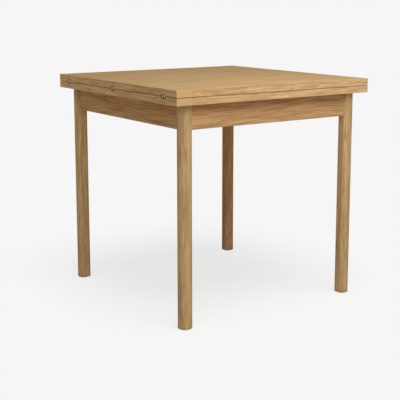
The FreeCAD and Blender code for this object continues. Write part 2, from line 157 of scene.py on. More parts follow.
class Recipe:
    """A finish or a sky being mixed: its shader and the nodes that feed it."""

    def __init__(self, holder: bpy.types.Material | bpy.types.World) -> None:
        """Start with nothing but the shader that a new holder comes with.

        Args:
            holder: the new material or world.
        """
        holder.use_nodes = True
        self.holder = holder
        self.tree = holder.node_tree
        self.shader = next(node for node in self.tree.nodes if node.outputs)

    def feed(self, socket: Socket, value: object) -> None:
        """Link a socket to another, or set its own value."""
        if isinstance(value, bpy.types.NodeSocket):
            self.tree.links.new(value, socket)
        else:
            socket.default_value = value

    def node(self, kind: str, inputs: dict[object, object], **settings: object) -> bpy.types.Node:
        """Add a node.

        Args:
            kind: the node's type, without its ShaderNode prefix.
            inputs: a value or a socket for each input, by name or number.
            **settings: the node's own properties.

        Returns:
            The new node.
        """
        made = self.tree.nodes.new("ShaderNode" + kind)
        for name, value in settings.items():
            setattr(made, name, value)
        for key, value in inputs.items():
            self.feed(made.inputs[key], value)
        return made

    def place(self, output: str = "Object") -> Socket:
        """Return the place on the piece, or its face's direction with output Normal."""
        return self.node("TexCoord", {}).outputs[output]

    def parts(self, vector: Socket) -> list[Socket]:
        """Return a vector's X, Y and Z."""
        return list(self.node("SeparateXYZ", {0: vector}).outputs)

    def facing(self, axis: int) -> Socket:
        """Return how squarely a face looks along an axis, either way, 0 to 1."""
        return self.maths("ABSOLUTE", self.parts(self.place("Normal"))[axis])

    def maths(self, operation: str, *values: object, clamp: bool = False) -> Socket:
        """Return the result of one sum on numbers."""
        inputs = dict(enumerate(values))
        return self.node("Math", inputs, operation=operation, use_clamp=clamp).outputs[0]

    def times(self, first: object, second: object) -> Socket:
        """Return one number times another."""
        return self.maths("MULTIPLY", first, second)

    def minus(self, first: object, second: object) -> Socket:
        """Return one number less another."""
        return self.maths("SUBTRACT", first, second)

    def near(self, axis: int, level: float, close: float, far: float, most: float) -> Socket:
        """Return how near a place is to a level on an axis: most when close, nothing when far."""
        away = self.maths("ABSOLUTE", self.minus(self.parts(self.place())[axis], level))
        return self.span(away, far, close, 0, most)

    def dot(self, vector: Socket, direction: Sequence[float]) -> Socket:
        """Return how far a vector reaches along a direction."""
        inputs = {0: vector, 1: tuple(direction)}
        return self.node("VectorMath", inputs, operation="DOT_PRODUCT").outputs["Value"]

    def joined(self, x: object, y: object, z: object) -> Socket:
        """Return a vector made of three numbers."""
        return self.node("CombineXYZ", {0: x, 1: y, 2: z}).outputs[0]

    def noise(self, vector: Socket, scale: float = 1.0, detail: float = 2.0,
              roughness: float = 0.5, distortion: float = 0.0) -> Socket:
        """Return a cloud of values from 0 to 1, about 0.5."""
        inputs = {"Vector": vector, "Scale": scale, "Detail": detail,
                  "Roughness": roughness, "Distortion": distortion}
        return self.node("TexNoise", inputs).outputs[0]

    def drawn_out(self, vector: Socket, scales: Sequence[float], shift: float = 0.0,
                  **settings: float) -> Socket:
        """Return a cloud drawn out by a scale for each axis, and moved by one number."""
        inputs = {"Vector": vector, "Scale": scales, "Location": (shift, shift, shift)}
        return self.noise(self.node("Mapping", inputs).outputs[0], **settings)

    def span(self, value: Socket, low: float, high: float, start: float = 0.0,
             end: float = 1.0, smooth: bool = False) -> Socket:
        """Return a value carried from one range to another, and held inside it.

        Args:
            value: what is carried.
            low: where the first range starts.
            high: where it ends.
            start: what low becomes.
            end: what high becomes.
            smooth: whether both ends are eased.

        Returns:
            The carried value.
        """
        inputs = {0: value, 1: low, 2: high, 3: start, 4: end}
        kind = "SMOOTHSTEP" if smooth else "LINEAR"
        return self.node("MapRange", inputs, interpolation_type=kind).outputs[0]

    def ramp(self, value: Socket, *stops: tuple[float, Colour]) -> Socket:
        """Return the colour that a ramp of two stops gives to a value.

        Args:
            value: what is looked up on the ramp.
            *stops: two places on it from 0 to 1, each with its colour.

        Returns:
            The ramp's colour.
        """
        made = self.node("ValToRGB", {0: value})
        for element, (place, colour) in zip(made.color_ramp.elements, stops):
            element.position = place
            element.color = colour
        return made.outputs[0]

    def blend(self, share: object, first: object, second: object, how: str = "MIX") -> Socket:
        """Return the first colour with a share of the second laid over it."""
        inputs = {0: share, 6: first, 7: second}
        return self.node("Mix", inputs, data_type="RGBA", blend_type=how).outputs[2]

    def relief(self, height: Socket, depth: float, strength: float) -> None:
        """Raise and sink the surface by a height from 0 to 1, depth metres in all."""
        inputs = {"Height": height, "Distance": depth, "Strength": strength}
        self.feed(self.shader.inputs["Normal"], self.node("Bump", inputs).outputs[0])

    def finish(self, colour: object, roughness: object, **uniform: float) -> bpy.types.Material:
        """Feed the shader's colour and roughness, and set what is the same all over.

        Args:
            colour: the surface's colour.
            roughness: its roughness.
            **uniform: sockets of the shader, with _ for a space.

        Returns:
            The finished material.
        """
        self.feed(self.shader.inputs["Base Color"], colour)
        self.feed(self.shader.inputs["Roughness"], roughness)
        for name, value in uniform.items():
            self.shader.inputs[name.replace("_", " ")].default_value = value
        return self.holder


@dataclass(frozen=True)
class Finish:
    """A finish, mixed once.

    Attributes:
        name: the material's name.
        light: the lighter of its two main colours.
        dark: the darker one.
    """

    name: str
    light: Colour
    dark: Colour

    def mix(self, recipe: Recipe) -> bpy.types.Material:
        """Mix the finish in an empty recipe."""
        raise NotImplementedError

    def mixed(self) -> bpy.types.Material:
        """Return the finished material."""
        return self.mix(Recipe(bpy.data.materials.new(self.name)))


@dataclass(frozen=True)
class Wood(Finish):
    """Planed wood, light early and dark late, with rings, streaks, open pores and ray flecks.

    Attributes:
        grain: which way the fibres run.
        seed: where in the tree the board was cut.
        ring_tilt: how far the growth rings lean in the board, in degrees.
        ring_pitch: from one growth ring to the next, in metres.
        contrast: how strongly the figure shows, 1 being plain.
        blush: how strong the redder patches are, 0 to 1.
        pore_depth: how dark the pores are, 0 to 1.
        roughness: of the bare surface.
        gloss: how much the surface mirrors.
        worn_box: a box whose edges are a little worn, if any.
        glued_at: X of a glued joint that shows on the ends, if any.
        seam_at: level of the seam between the leaves, whose edges get painted shade, if any.
        scuffed_below: height below which a leg is scuffed, in metres.
    """

    grain: Grain
    seed: float = 0.0
    ring_tilt: float = 20.0
    ring_pitch: float = 0.006
    contrast: float = 1.2
    blush: float = 0.5
    pore_depth: float = 0.4
    roughness: float = 0.8
    gloss: float = 0.12
    worn_box: tuple[Vector, Vector] | None = None
    glued_at: float | None = None
    seam_at: float | None = None
    scuffed_below: float = 0.0

    def fibre_place(self, recipe: Recipe) -> Socket:
        """Return the place on the piece with its X turned along the fibres.

        Args:
            recipe: the wood's recipe.

        Returns:
            The place, in metres.
        """
        x, y, z = recipe.parts(recipe.place())
        orders = {Grain.ALONG_X: (x, y, z), Grain.ALONG_Y: (y, x, z), Grain.ALONG_Z: (z, x, y)}
        if self.grain in orders:
            return recipe.joined(*orders[self.grain])
        along, turned = recipe.joined(x, y, z), recipe.joined(y, x, z)
        level = recipe.facing(0)
        if self.grain is Grain.VENEERED_RAIL:
            level = recipe.facing(2)
            along, turned = turned, along
        inputs = {0: recipe.maths("GREATER_THAN", level, 0.7), 4: along, 5: turned}
        return recipe.node("Mix", inputs, data_type="VECTOR").outputs[1]

    def grown_place(self, recipe: Recipe, fibres: Socket) -> Socket:
        """Return the place along the fibres, across the growth rings and beside them.

        Args:
            recipe: the wood's recipe.
            fibres: the place with its X turned along the fibres.

        Returns:
            The place, in metres.
        """
        tilt = math.radians(self.ring_tilt)
        wander = recipe.drawn_out(fibres, WANDER, self.seed, detail=2)
        waves = recipe.drawn_out(fibres, WAVES, self.seed + 2.2, detail=1)
        across = recipe.dot(fibres, (0, math.cos(tilt), math.sin(tilt)))
        for swing, reach in ((wander, 0.03), (waves, 0.006)):
            across = recipe.maths("ADD", across, recipe.span(swing, 0, 1, -reach, reach))
        beside = recipe.dot(fibres, (0, -math.sin(tilt), math.cos(tilt)))
        return recipe.joined(recipe.parts(fibres)[0], across, beside)

    def late_wood(self, recipe: Recipe, grown: Socket) -> tuple[Socket, Socket]:
        """Return how far through its growth ring a place is, and how late its wood is.

        Args:
            recipe: the wood's recipe.
            grown: the place by the growth rings.

        Returns:
            Both, 0 to 1.
        """
        uneven = recipe.drawn_out(grown, UNEVEN_RINGS, self.seed + 3.1, detail=1)
        rings = recipe.maths("DIVIDE", recipe.parts(grown)[1], self.ring_pitch)
        rings = recipe.maths("ADD", rings, recipe.span(uneven, 0, 1, 0, 7))
        phase = recipe.maths("FRACT", rings)
        return phase, recipe.times(recipe.span(phase, 0.3, 0.9, smooth=True),
                                   recipe.span(phase, 1.0, 0.9))

    def darkness(self, recipe: Recipe, grown: Socket, late: Socket) -> Socket:
        """Return how dark the figure is at a place, 0 to 1, about 0.5.

        Args:
            recipe: the wood's recipe.
            grown: the place by the growth rings.
            late: how late the wood is there.

        Returns:
            The darkness.
        """
        total = RING_WEIGHT + sum(weight for _, weight, _ in FIGURE)
        sum_so_far = recipe.times(late, RING_WEIGHT / total)
        for turn, (scales, weight, detail) in enumerate(FIGURE):
            cloud = recipe.drawn_out(grown, scales, self.seed + 2.3 * turn, detail=detail,
                                     roughness=0.6)
            share = recipe.span(cloud, 0.36, 0.64, 0.0, weight / total)
            sum_so_far = recipe.maths("ADD", sum_so_far, share)
        if self.grain is Grain.VENEERED_RAIL:
            end_grain = recipe.span(recipe.facing(1), 0.6, 0.8, 0, 0.75)
            calm = 0.42
            sum_so_far = recipe.node("Mix", {0: end_grain, 2: sum_so_far, 3: calm}).outputs[0]
        return sum_so_far

    def edge_wear(self, recipe: Recipe) -> Socket:
        """Return how worn a place is, 1 on the edges of the box.

        Args:
            recipe: the wood's recipe.

        Returns:
            The wear.
        """
        gaps = [recipe.maths("MINIMUM", recipe.minus(place, start), recipe.minus(end, place))
                for place, start, end in zip(recipe.parts(recipe.place()), *self.worn_box)]
        nearer = recipe.maths("MINIMUM", gaps[0], gaps[1])
        further = recipe.maths("MAXIMUM", gaps[0], gaps[1])
        to_edge = recipe.maths("MAXIMUM", nearer, recipe.maths("MINIMUM", further, gaps[2]))
        broken = recipe.noise(recipe.place(), scale=WORN_EDGES, detail=3)
        reach = recipe.span(broken, 0.35, 0.65, 0.6 * MM, 3.2 * MM)
        share = recipe.maths("SUBTRACT", 1.0, recipe.maths("DIVIDE", to_edge, reach), clamp=True)
        return recipe.times(share, 0.35)

    def glue_line(self, recipe: Recipe) -> Socket:
        """Return how near a place on the leaf's ends is to the glued joint, 0 to 1."""
        return recipe.times(recipe.near(0, self.glued_at, 0.2 * MM, 1.1 * MM, 0.5),
                            recipe.span(recipe.facing(1), 0.5, 0.7))

    def painted_seam_shade(self, recipe: Recipe) -> Socket:
        """Return how much painted shade the edge beside the seam gets, 0 to 1."""
        return recipe.times(recipe.near(2, self.seam_at, 1.0 * MM, 1.6 * MM, 0.55),
                            recipe.span(recipe.facing(2), 0.98, 0.9))

    def scuffs(self, recipe: Recipe) -> Socket:
        """Return how scuffed a place near the foot is, 0 to 1.

        Args:
            recipe: the wood's recipe.

        Returns:
            The share of the dark colour.
        """
        height = recipe.parts(recipe.place())[2]
        marks = recipe.noise(recipe.place(), scale=SCUFFS, detail=4, roughness=0.7)
        share = recipe.span(recipe.maths("DIVIDE", height, self.scuffed_below), 1, 0, 0, 0.5)
        return recipe.times(share, recipe.span(marks, 0.35, 0.65, 0.15, 1.0))

    def mix(self, recipe: Recipe) -> bpy.types.Material:
        """Mix the figure, the pores and flecks, then the wear, the glue line, the scuffs and the
        painted shade beside the seam.

        Args:
            recipe: an empty recipe.

        Returns:
            The finished material.
        """
        fibres = self.fibre_place(recipe)
        grown = self.grown_place(recipe, fibres)
        phase, late = self.late_wood(recipe, grown)
        half = 0.5 / self.contrast
        colour = recipe.ramp(self.darkness(recipe, grown, late), (0.5 - half, self.light),
                             (0.5 + half, self.dark))
        patches = recipe.drawn_out(grown, PATCHES, self.seed + 13, detail=3)
        colour = recipe.blend(recipe.span(patches, 0.42, 0.62, 0, self.blush), colour,
                              REDDER, "MULTIPLY")

        pores = recipe.span(recipe.drawn_out(fibres, PORES, self.seed, detail=1), 0.60, 0.68)
        pores = recipe.times(pores, recipe.span(phase, 0.6, 0.1, 0.3, 1.0))
        flecks = recipe.span(recipe.drawn_out(fibres, FLECKS, self.seed + 5, detail=1),
                             0.66, 0.74)
        # Dark colour of the pores, the glue line and the scuffs, and of the painted shade beside
        # the seam.
        dirt_and_shade = tuple(0.35 * part for part in self.dark[:3]) + (1.0,)
        colour = recipe.blend(recipe.times(pores, self.pore_depth), colour, dirt_and_shade)
        colour = recipe.blend(recipe.times(flecks, 0.35), colour, self.light)
        for shows, share, over in (
            (self.worn_box is not None, self.edge_wear, self.light),
            (self.glued_at is not None, self.glue_line, dirt_and_shade),
            # painted shade: the edges beside the seam are darkened as if shaded by the gap
            (self.seam_at is not None, self.painted_seam_shade, dirt_and_shade),
            (self.scuffed_below > 0, self.scuffs, dirt_and_shade),
        ):
            if shows:
                colour = recipe.blend(share(recipe), colour, over)

        skin = recipe.drawn_out(grown, THREADS, self.seed, detail=3, roughness=0.6)
        rough = recipe.maths("ADD", recipe.span(skin, 0.3, 0.7, -0.05, 0.05), self.roughness)
        rough = recipe.maths("ADD", rough, recipe.times(pores, 0.15), clamp=True)
        recipe.relief(recipe.minus(recipe.times(skin, 0.4), pores), 0.12 * MM, 0.6)
        return recipe.finish(colour, rough, Specular_IOR_Level=self.gloss)


@dataclass(frozen=True)
class Metal(Finish):
    """Plated or bare metal, dark where dull, with fine tool marks, small stains and a little dust.

    Attributes:
        roughness: of the clean metal.
        dull_and_shaded_beyond: X beyond which a cavity's plating is thin and dull and its colour
            goes to near black as painted shade, if there is one.
    """

    roughness: float = 0.3
    dull_and_shaded_beyond: float | None = None

    def mix(self, recipe: Recipe) -> bpy.types.Material:
        """Mix the stains and the tool marks, then the cavity's dull plating and its painted shade.

        Args:
            recipe: an empty recipe.

        Returns:
            The finished material.
        """
        place = recipe.place()
        stains = recipe.noise(place, scale=STAINS, detail=4, roughness=0.6)
        marks = recipe.drawn_out(place, (0.12, 1.0, 1.0), scale=TOOL_MARKS, detail=3,
                                 roughness=0.7)
        dull = recipe.span(stains, 0.48, 0.72)
        colour = recipe.blend(dull, self.light, self.dark)
        mirror = recipe.span(marks, 0.3, 0.7, self.roughness - 0.05, self.roughness + 0.08)
        rough = recipe.maths("ADD", recipe.times(dull, 0.18), mirror, clamp=True)
        recipe.relief(marks, 0.04 * MM, 0.5)
        if self.dull_and_shaded_beyond is None:
            return recipe.finish(colour, rough, Metallic=1.0)
        # Past dull_and_shaded_beyond the colour fades to near black within 2 mm, which is painted
        # shade of the hollow; the plating is also rougher and less metallic there.
        beyond = recipe.minus(recipe.parts(place)[0], self.dull_and_shaded_beyond)
        deep = recipe.span(beyond, 0, 2 * MM)
        colour = recipe.blend(deep, colour, tone(*CAVITY_SHADE))
        rough = recipe.maths("MULTIPLY_ADD", deep, 0.45, rough, clamp=True)
        recipe.feed(recipe.shader.inputs["Metallic"], recipe.span(deep, 0, 1, 1, 0.2))
        return recipe.finish(colour, rough)


@dataclass(frozen=True)
class Moulding(Finish):
    """Moulded plastic or rubber with a fine skin and slight mottling.

    Attributes:
        roughness: of the skin.
        clearness: how much light goes through, 0 to 1.
    """

    roughness: float = 0.5
    clearness: float = 0.0

    def mix(self, recipe: Recipe) -> bpy.types.Material:
        """Mix the mottling and the skin.

        Args:
            recipe: an empty recipe.

        Returns:
            The finished material.
        """
        place = recipe.place()
        mottle = recipe.noise(place, scale=MOTTLING, detail=3)
        skin = recipe.noise(place, scale=MOULDED_SKIN, detail=2)
        colour = recipe.ramp(mottle, (0.3, self.dark), (0.7, self.light))
        rough = recipe.span(skin, 0.3, 0.7, self.roughness - 0.05, self.roughness + 0.08)
        recipe.relief(skin, 0.03 * MM, 0.5)
        return recipe.finish(colour, rough, Transmission_Weight=self.clearness)


@dataclass(frozen=True)
class Felt(Finish):
    """Pressed wool felt, with flecks of lighter and darker hair."""

    def mix(self, recipe: Recipe) -> bpy.types.Material:
        """Mix the hairs and their clumps.

        Args:
            recipe: an empty recipe.

        Returns:
            The finished material.
        """
        place = recipe.place()
        hair = recipe.noise(place, scale=HAIRS, detail=4, roughness=0.7, distortion=1.2)
        clumps = recipe.noise(place, scale=CLUMPS, detail=2)
        colour = recipe.ramp(hair, (0.3, self.dark), (0.72, self.light))
        colour = recipe.blend(recipe.span(clumps, 0.4, 0.7, 0, 0.4), colour, self.dark)
        recipe.relief(hair, 0.4 * MM, 0.8)
        rough = recipe.span(clumps, 0.3, 0.7, 0.88, 1.0)
        return recipe.finish(colour, rough, Sheen_Weight=0.35, Specular_IOR_Level=0.1)


class Finishes:
    """Every finish of the table, mixed once."""

    def __init__(self) -> None:
        """Mix them all."""
        seam = joint_place("leaf_fold")
        folded_top = (leaf_box("lower")[0], leaf_box("upper")[1])
        self.panels, self.rails = {}, {}
        for side, light, dark, seed in (
            ("upper", tone(222, 188, 139), tone(163, 124, 77), 2.3),
            ("lower", tone(222, 188, 142), tone(166, 128, 81), 11.7),
        ):
            glued_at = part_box(side + "_leaf_hinge_rail")[1].x
            for kind, grain, kept in (("leaf", Grain.SHOWN_FACES, self.panels),
                                      ("hinge_rail", Grain.VENEERED_RAIL, self.rails)):
                kept[side] = Wood(f"oak_{side}_{kind}", light, dark, grain, seed,
                                  worn_box=folded_top, glued_at=glued_at,
                                  seam_at=seam.z).mixed()
        # One tone for each leg, in the order of CORNERS. The rear legs' tones are darker, which
        # paints the shade under the table on them.
        leg_tones_and_shade = (
            (tone(216, 186, 137), tone(152, 117, 75)),
            (tone(213, 182, 133), tone(148, 113, 71)),
            # rear right leg: markedly darker and redder, painted shade
            (tone(212, 173, 125), tone(146, 106, 67)),
            (tone(208, 178, 131), tone(144, 110, 70)),
        )
        self.legs = {
            corner: Wood("oak_leg_" + corner, *leg_tones_and_shade[turn], Grain.ALONG_Z, 20 + 3.7 * turn,
                         ring_tilt=25 + 40 * turn, ring_pitch=0.005, contrast=1.1, blush=0.3,
                         scuffed_below=12 * MM).mixed()
            for turn, corner in enumerate(CORNERS)
        }
        board = tone(213, 173, 124), tone(144, 103, 66)
        self.aprons = {
            name: Wood("oak_" + name, *board,
                       Grain.ALONG_X if name in LONG_APRONS else Grain.ALONG_Y,
                       31 + 8.3 * turn, ring_tilt=75, worn_box=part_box(name)).mixed()
            for turn, name in enumerate(APRONS)
        }
        beech = tone(224, 192, 152), tone(196, 156, 116)
        self.cross_rail = Wood("beech_rail", *beech, Grain.ALONG_Y, 5.0, pore_depth=0.1,
                               roughness=0.7).mixed()
        self.block = Wood("beech_block", *beech, Grain.ALONG_Z, 9.0, pore_depth=0.1,
                          roughness=0.75).mixed()
        self.zinc = Metal("bright_zinc", tone(206, 208, 212), tone(168, 170, 172), 0.28).mixed()
        # The cup's nickel is darkened to a brown near black, which paints the shade in the hinge's
        # mouth.
        self.cup = Metal("nickel_casting", tone(92, 79, 62), tone(66, 56, 43), 0.4,
                         dull_and_shaded_beyond=seam.x + 0.8 * MM).mixed()
        self.link = Metal("link_steel", tone(200, 188, 168), tone(160, 148, 130), 0.34).mixed()
        # The pins are near black, which paints the shade in the gap between the link plates.
        self.pin = Metal("steel_pin", tone(66, 59, 50), tone(42, 37, 31), 0.4).mixed()
        self.bronze = Metal("sintered_bronze", tone(196, 154, 98), tone(140, 104, 62),
                            0.45).mixed()
        self.nylon = Moulding("natural_nylon", tone(232, 229, 216), tone(214, 209, 194),
                              0.42).mixed()
        self.rubber = Moulding("clear_rubber", tone(226, 224, 216), tone(206, 203, 192),
                               0.3, 0.5).mixed()
        self.glide = Moulding("brown_glide", tone(104, 80, 58), tone(78, 58, 40), 0.55).mixed()
        self.felt = Felt("grey_felt", tone(150, 147, 142), tone(92, 89, 85)).mixed()


# ------------------------------------------------------------------ shapes on the bench
def loft(rings: Sequence[Sequence[Vector]], closed: bool = False) -> Shape:
    """Make a skin through rings that have as many points each.

    Args:
        rings: the rings, in order.
        closed: whether the last ring joins the first, instead of both being capped.

    Returns:
        The closed shape.
    """
    shape = bmesh.new()
    rows = [[shape.verts.new(point) for point in ring] for ring in rings]
    pairs = list(zip(rows, rows[1:]))
    if closed:
        pairs.append((rows[-1], rows[0]))
    for low, high in pairs:
        for here in range(len(low)):
            there = (here + 1) % len(low)
            shape.faces.new((low[here], low[there], high[there], high[here]))
    if not closed:
        shape.faces.new(list(reversed(rows[0])))
        shape.faces.new(rows[-1])
    bmesh.ops.recalc_face_normals(shape, faces=shape.faces[:])
    return shape


def lathe(profile: Sequence[Point], segments: int = 48, bored: bool = False) -> Shape:
    """Turn a profile round the Z axis.

    Args:
        profile: distances from the axis and levels, from one end to the other.
        segments: how many sides a turn has.
        bored: whether the profile is a closed loop round a hole.

    Returns:
        The turned shape, about the origin.
    """
    turns = [2 * math.pi * step / segments for step in range(segments)]
    return loft([[Vector((radius * math.cos(turn), radius * math.sin(turn), level))
                  for turn in turns] for radius, level in profile], closed=bored)


def washer(bore: float, outer: float, low: float, high: float, soft: float,
           segments: int) -> Shape:
    """Make a flat ring about the Z axis from two radii, its outer rims eased by soft."""
    return lathe([(bore, low), (outer - soft, low), (outer, low + soft), (outer, high - soft),
                  (outer - soft, high), (bore, high)], segments, bored=True)


def prism(outline: Sequence[Point], low: float, high: float) -> Shape:
    """Make an upright prism from an outline in plan."""
    return loft([[Vector((x, y, level)) for x, y in outline] for level in (low, high)])


def box(low: Sequence[float], high: Sequence[float]) -> Shape:
    """Make a box between two corners."""
    outline = [(low[0], low[1]), (high[0], low[1]), (high[0], high[1]), (low[0], high[1])]
    return prism(outline, low[2], high[2])


def disc(diameter: float, low: float, high: float, arris: float = 0.0,
         segments: int = 48) -> Shape:
    """Make an upright disc or rod about the Z axis, with its two rims eased.

    Args:
        diameter: its diameter.
        low: level of its lower face.
        high: level of its upper face.
        arris: how far its rims are eased.
        segments: how many sides a turn has.

    Returns:
        The shape, about the origin.
    """
    radius = diameter / 2
    if not arris:
        return lathe([(radius, low), (radius, high)], segments)
    bends = [math.radians(angle) for angle in (0, 30, 60, 90)]
    foot = [(radius - arris * (1 - math.sin(bend)), low + arris * (1 - math.cos(bend)))
            for bend in bends]
    head = [(reach, low + high - level) for reach, level in reversed(foot)]
    return lathe(foot + head, segments)


def arc(middle: Point, radius: float, start: float, end: float, steps: int) -> list[Point]:
    """Return points on an arc, angles in degrees."""
    turns = [math.radians(start + (end - start) * step / steps) for step in range(steps + 1)]
    return [(middle[0] + radius * math.cos(turn), middle[1] + radius * math.sin(turn))
            for turn in turns]


def rounded_rectangle(half_x: float, half_y: float, corner: float, steps: int = 8) -> list[Point]:
    """Return the outline of a rectangle with round corners, about the origin.

    Args:
        half_x: half its size along X.
        half_y: half its size along Y.
        corner: radius of its corners.
        steps: how many sides each corner has.

    Returns:
        The points of the outline.
    """
    points: list[Point] = []
    for quarter, (side_x, side_y) in enumerate(((1, 1), (-1, 1), (-1, -1), (1, -1))):
        middle = (side_x * (half_x - corner), side_y * (half_y - corner))
        points += arc(middle, corner, 90 * quarter, 90 * quarter + 90, steps)
    return points


def threaded_rod(diameter: float, pitch: float, low: float, high: float,
                 segments: int = 20, rows_a_turn: int = 6) -> Shape:
    """Make a rod about the Z axis with a helical thread that runs out at both ends.

    Args:
        diameter: over the thread's crests.
        pitch: from one turn to the next.
        low: level of its lower end.
        high: level of its upper end.
        segments: how many sides a turn has.
        rows_a_turn: how many rows of points one turn is built from.

    Returns:
        The closed rod.
    """
    depth = 0.6 * pitch
    count = max(2, round((high - low) / pitch * rows_a_turn))
    rings = []
    for row in range(count + 1):
        level = low + (high - low) * row / count
        fade = min(1.0, (level - low) / pitch, (high - level) / pitch)
        ring = []
        for step in range(segments):
            turn = step / segments
            groove = abs(2 * (((level - low) / pitch - turn) % 1.0) - 1)
            radius = diameter / 2 - depth * (1 - fade * (1 - groove))
            angle = 2 * math.pi * turn
            ring.append(Vector((radius * math.cos(angle), radius * math.sin(angle), level)))
        rings.append(ring)
    return loft(rings)


def aimed(place: Sequence[float], direction: Sequence[float]) -> Matrix:
    """Return the placement that turns Z to a direction and stands at a place."""
    turn = Vector(direction).to_track_quat("Z", "Y").to_matrix().to_4x4()
    return Matrix.Translation(Vector(place)) @ turn


def upright(place: Vector) -> Matrix:
    """Return the placement that moves something in plan to a place."""
    return Matrix.Translation((place.x, place.y, 0))


class Workpiece:
    """A mesh on the bench, which becomes a piece of the table."""

    def __init__(self, name: str, *shapes: Shape, place: Matrix | None = None) -> None:
        """Take one or more shapes, moved by one placement, as one mesh.

        Args:
            name: the piece's name.
            *shapes: the shapes, which are used up.
            place: where they go.
        """
        data = bpy.data.meshes.new(name)
        whole = bmesh.new()
        for shape in shapes:
            part = bpy.data.meshes.new("part")
            shape.to_mesh(part)
            shape.free()
            whole.from_mesh(part)
            bpy.data.meshes.remove(part)
        if place is not None:
            whole.transform(place)
        whole.to_mesh(data)
        whole.free()
        self.object = bpy.data.objects.new(name, data)
        bpy.context.scene.collection.objects.link(self.object)

    def taken(self, place: Matrix | None = None) -> Shape:
        """Return the mesh as a shape again, and clear the bench of it.

        Args:
            place: where the shape goes.

        Returns:
            The shape.
        """
        shape = bmesh.new()
        shape.from_mesh(self.object.data)
        bpy.data.objects.remove(self.object)
        if place is not None:
            shape.transform(place)
        return shape

    def _apply(self, kind: str, **settings: object) -> "Workpiece":
        """Run one modifier on the mesh and keep its result.

        Args:
            kind: the modifier's type.
            **settings: its properties.

        Returns:
            The piece.
        """
        modifier = self.object.modifiers.new("work", kind)
        for name, value in settings.items():
            setattr(modifier, name, value)
        evaluated = self.object.evaluated_get(bpy.context.evaluated_depsgraph_get())
        result = bpy.data.meshes.new_from_object(evaluated)
        old = self.object.data
        self.object.modifiers.clear()
        self.object.data = result
        result.name = old.name
        bpy.data.meshes.remove(old)
        return self

    def carve(self, *tools: "Workpiece", operation: str = "DIFFERENCE") -> "Workpiece":
        """Take the tools' room out of this piece, and throw the tools away.

        Args:
            *tools: pieces that fill the room.
            operation: how each one works on this piece.

        Returns:
            The piece.
        """
        for tool in tools:
            self._apply("BOOLEAN", operation=operation, object=tool.object, solver="EXACT")
            bpy.data.objects.remove(tool.object)
        return self

    def meet(self, tool: "Workpiece") -> "Workpiece":
        """Keep only what lies inside the tool too, and throw the tool away."""
        return self.carve(tool, operation="INTERSECT")

    def ease(self, width: float, segments: int = 2, angle: float = 60.0) -> "Workpiece":
        """Round the edges that turn by more than an angle in degrees."""
        return self._apply("BEVEL", width=width, segments=segments, limit_method="ANGLE",
                           angle_limit=math.radians(angle), use_clamp_overlap=True)

    def move(self, place: Matrix) -> "Workpiece":
        """Move every point by a placement."""
        for vertex in self.object.data.vertices:
            vertex.co = place @ vertex.co
        return self

    def smooth(self, angle: float) -> "Workpiece":
        """Shade smoothly, apart from edges that turn by more than an angle in degrees.

        Args:
            angle: the angle.

        Returns:
            The piece.
        """
        self.object.data.shade_smooth()
        self.object.data.set_sharp_from_angle(angle=math.radians(angle))
        return self._apply("WEIGHTED_NORMAL", mode="FACE_AREA", weight=50, keep_sharp=True)


@dataclass(frozen=True)
class Purpose:
    """What the pieces of one kind have in common.

    Attributes:
        body: the frame's body that they ride on.
        slot: their material slot in the record; not used.
        finish: their material.
    """

    body: str
    slot: str
    finish: bpy.types.Material

    def fit(self, piece: Workpiece, *nodes: str, angle: float = 38.0) -> None:
        """Shade a piece, dress it and put it in the table.

        Args:
            piece: the piece.
            *nodes: the solids that it stands for.
            angle: edges that turn by more than this, in degrees, stay sharp.
        """
        made = piece.smooth(angle).object
        made.data.materials.clear()
        made.data.materials.append(self.finish)
        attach(made, self.body)
        if nodes:
            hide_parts(*nodes)
        LOG.info("%s: %d faces on %s", made.name, len(made.data.polygons), self.body)

    def make(self, node: str, *shapes: Shape, place: Matrix | None = None,
             angle: float = 38.0) -> None:
        """Put plain shapes, moved by one placement, in the place of a node's solid."""
        self.fit(Workpiece("finished_" + node, *shapes, place=place), node, angle=angle)

    def add(self, name: str, *shapes: Shape, place: Matrix | None = None) -> None:
        """Put in a piece that stands for no solid."""
        self.fit(Workpiece(name, *shapes, place=place))


def copies(shape: Callable[[], Shape], places: Sequence[Matrix]) -> list[Shape]:
    """Return a shape made anew for each place.

    Args:
        shape: what makes the shape.
        places: where each goes.

    Returns:
        The shapes.
    """
    made = []
    for place in places:
        fresh = shape()
        fresh.transform(place)
        made.append(fresh)
    return made


@dataclass(frozen=True)
class WoodScrew:
    """A countersunk wood screw with a cross recess, its head's face at the origin, facing up.

    Attributes:
        head: diameter of the head.
        shank: diameter over the thread.
        length: from the head's face to the tip.
        pitch: of the thread.
    """

    head: float
    shank: float
    length: float
    pitch: float = 1.8 * MM

    def shape(self) -> Shape:
        """Return one screw.

        Returns:
            A shape with its head's face at the origin and its tip below.
        """
        core = 0.36 * self.shank
        neck, taper = (self.shank - self.head) / 2, 2 * self.shank - self.length
        blank = Workpiece("screw_blank", lathe([
            (0.25 * core, -self.length), (core, taper), (core, neck),
            (self.head / 2, -0.3 * MM), (self.head / 2 - 0.2 * MM, 0.0),
        ], SCREW_SIDES))
        half, slim, deep = 0.28 * self.head, 0.055 * self.head, 0.28 * self.head
        corners = ((-1, -1), (1, -1), (1, 1), (-1, 1))
        for turn in (0.0, math.pi / 2):
            blank.carve(Workpiece("recess", loft([
                [Vector((x * half * 0.35, y * slim * 0.8, -deep)) for x, y in corners],
                [Vector((x * half, y * slim, 0.1 * MM)) for x, y in corners],
            ]), place=Matrix.Rotation(turn, 4, UP)))
        thread = threaded_rod(self.shank, self.pitch, taper, neck, 14, 5)
        return Workpiece("screw", blank.taken(), thread).taken()

    def seat(self, place: Matrix, profile: Sequence[Point]) -> Workpiece:
        """Return the room over a seat, from how far past the head it reaches and its levels."""
        ring = [(self.head / 2 + past, level) for past, level in profile]
        return Workpiece("seat", lathe(ring, SCREW_SIDES), place=place)


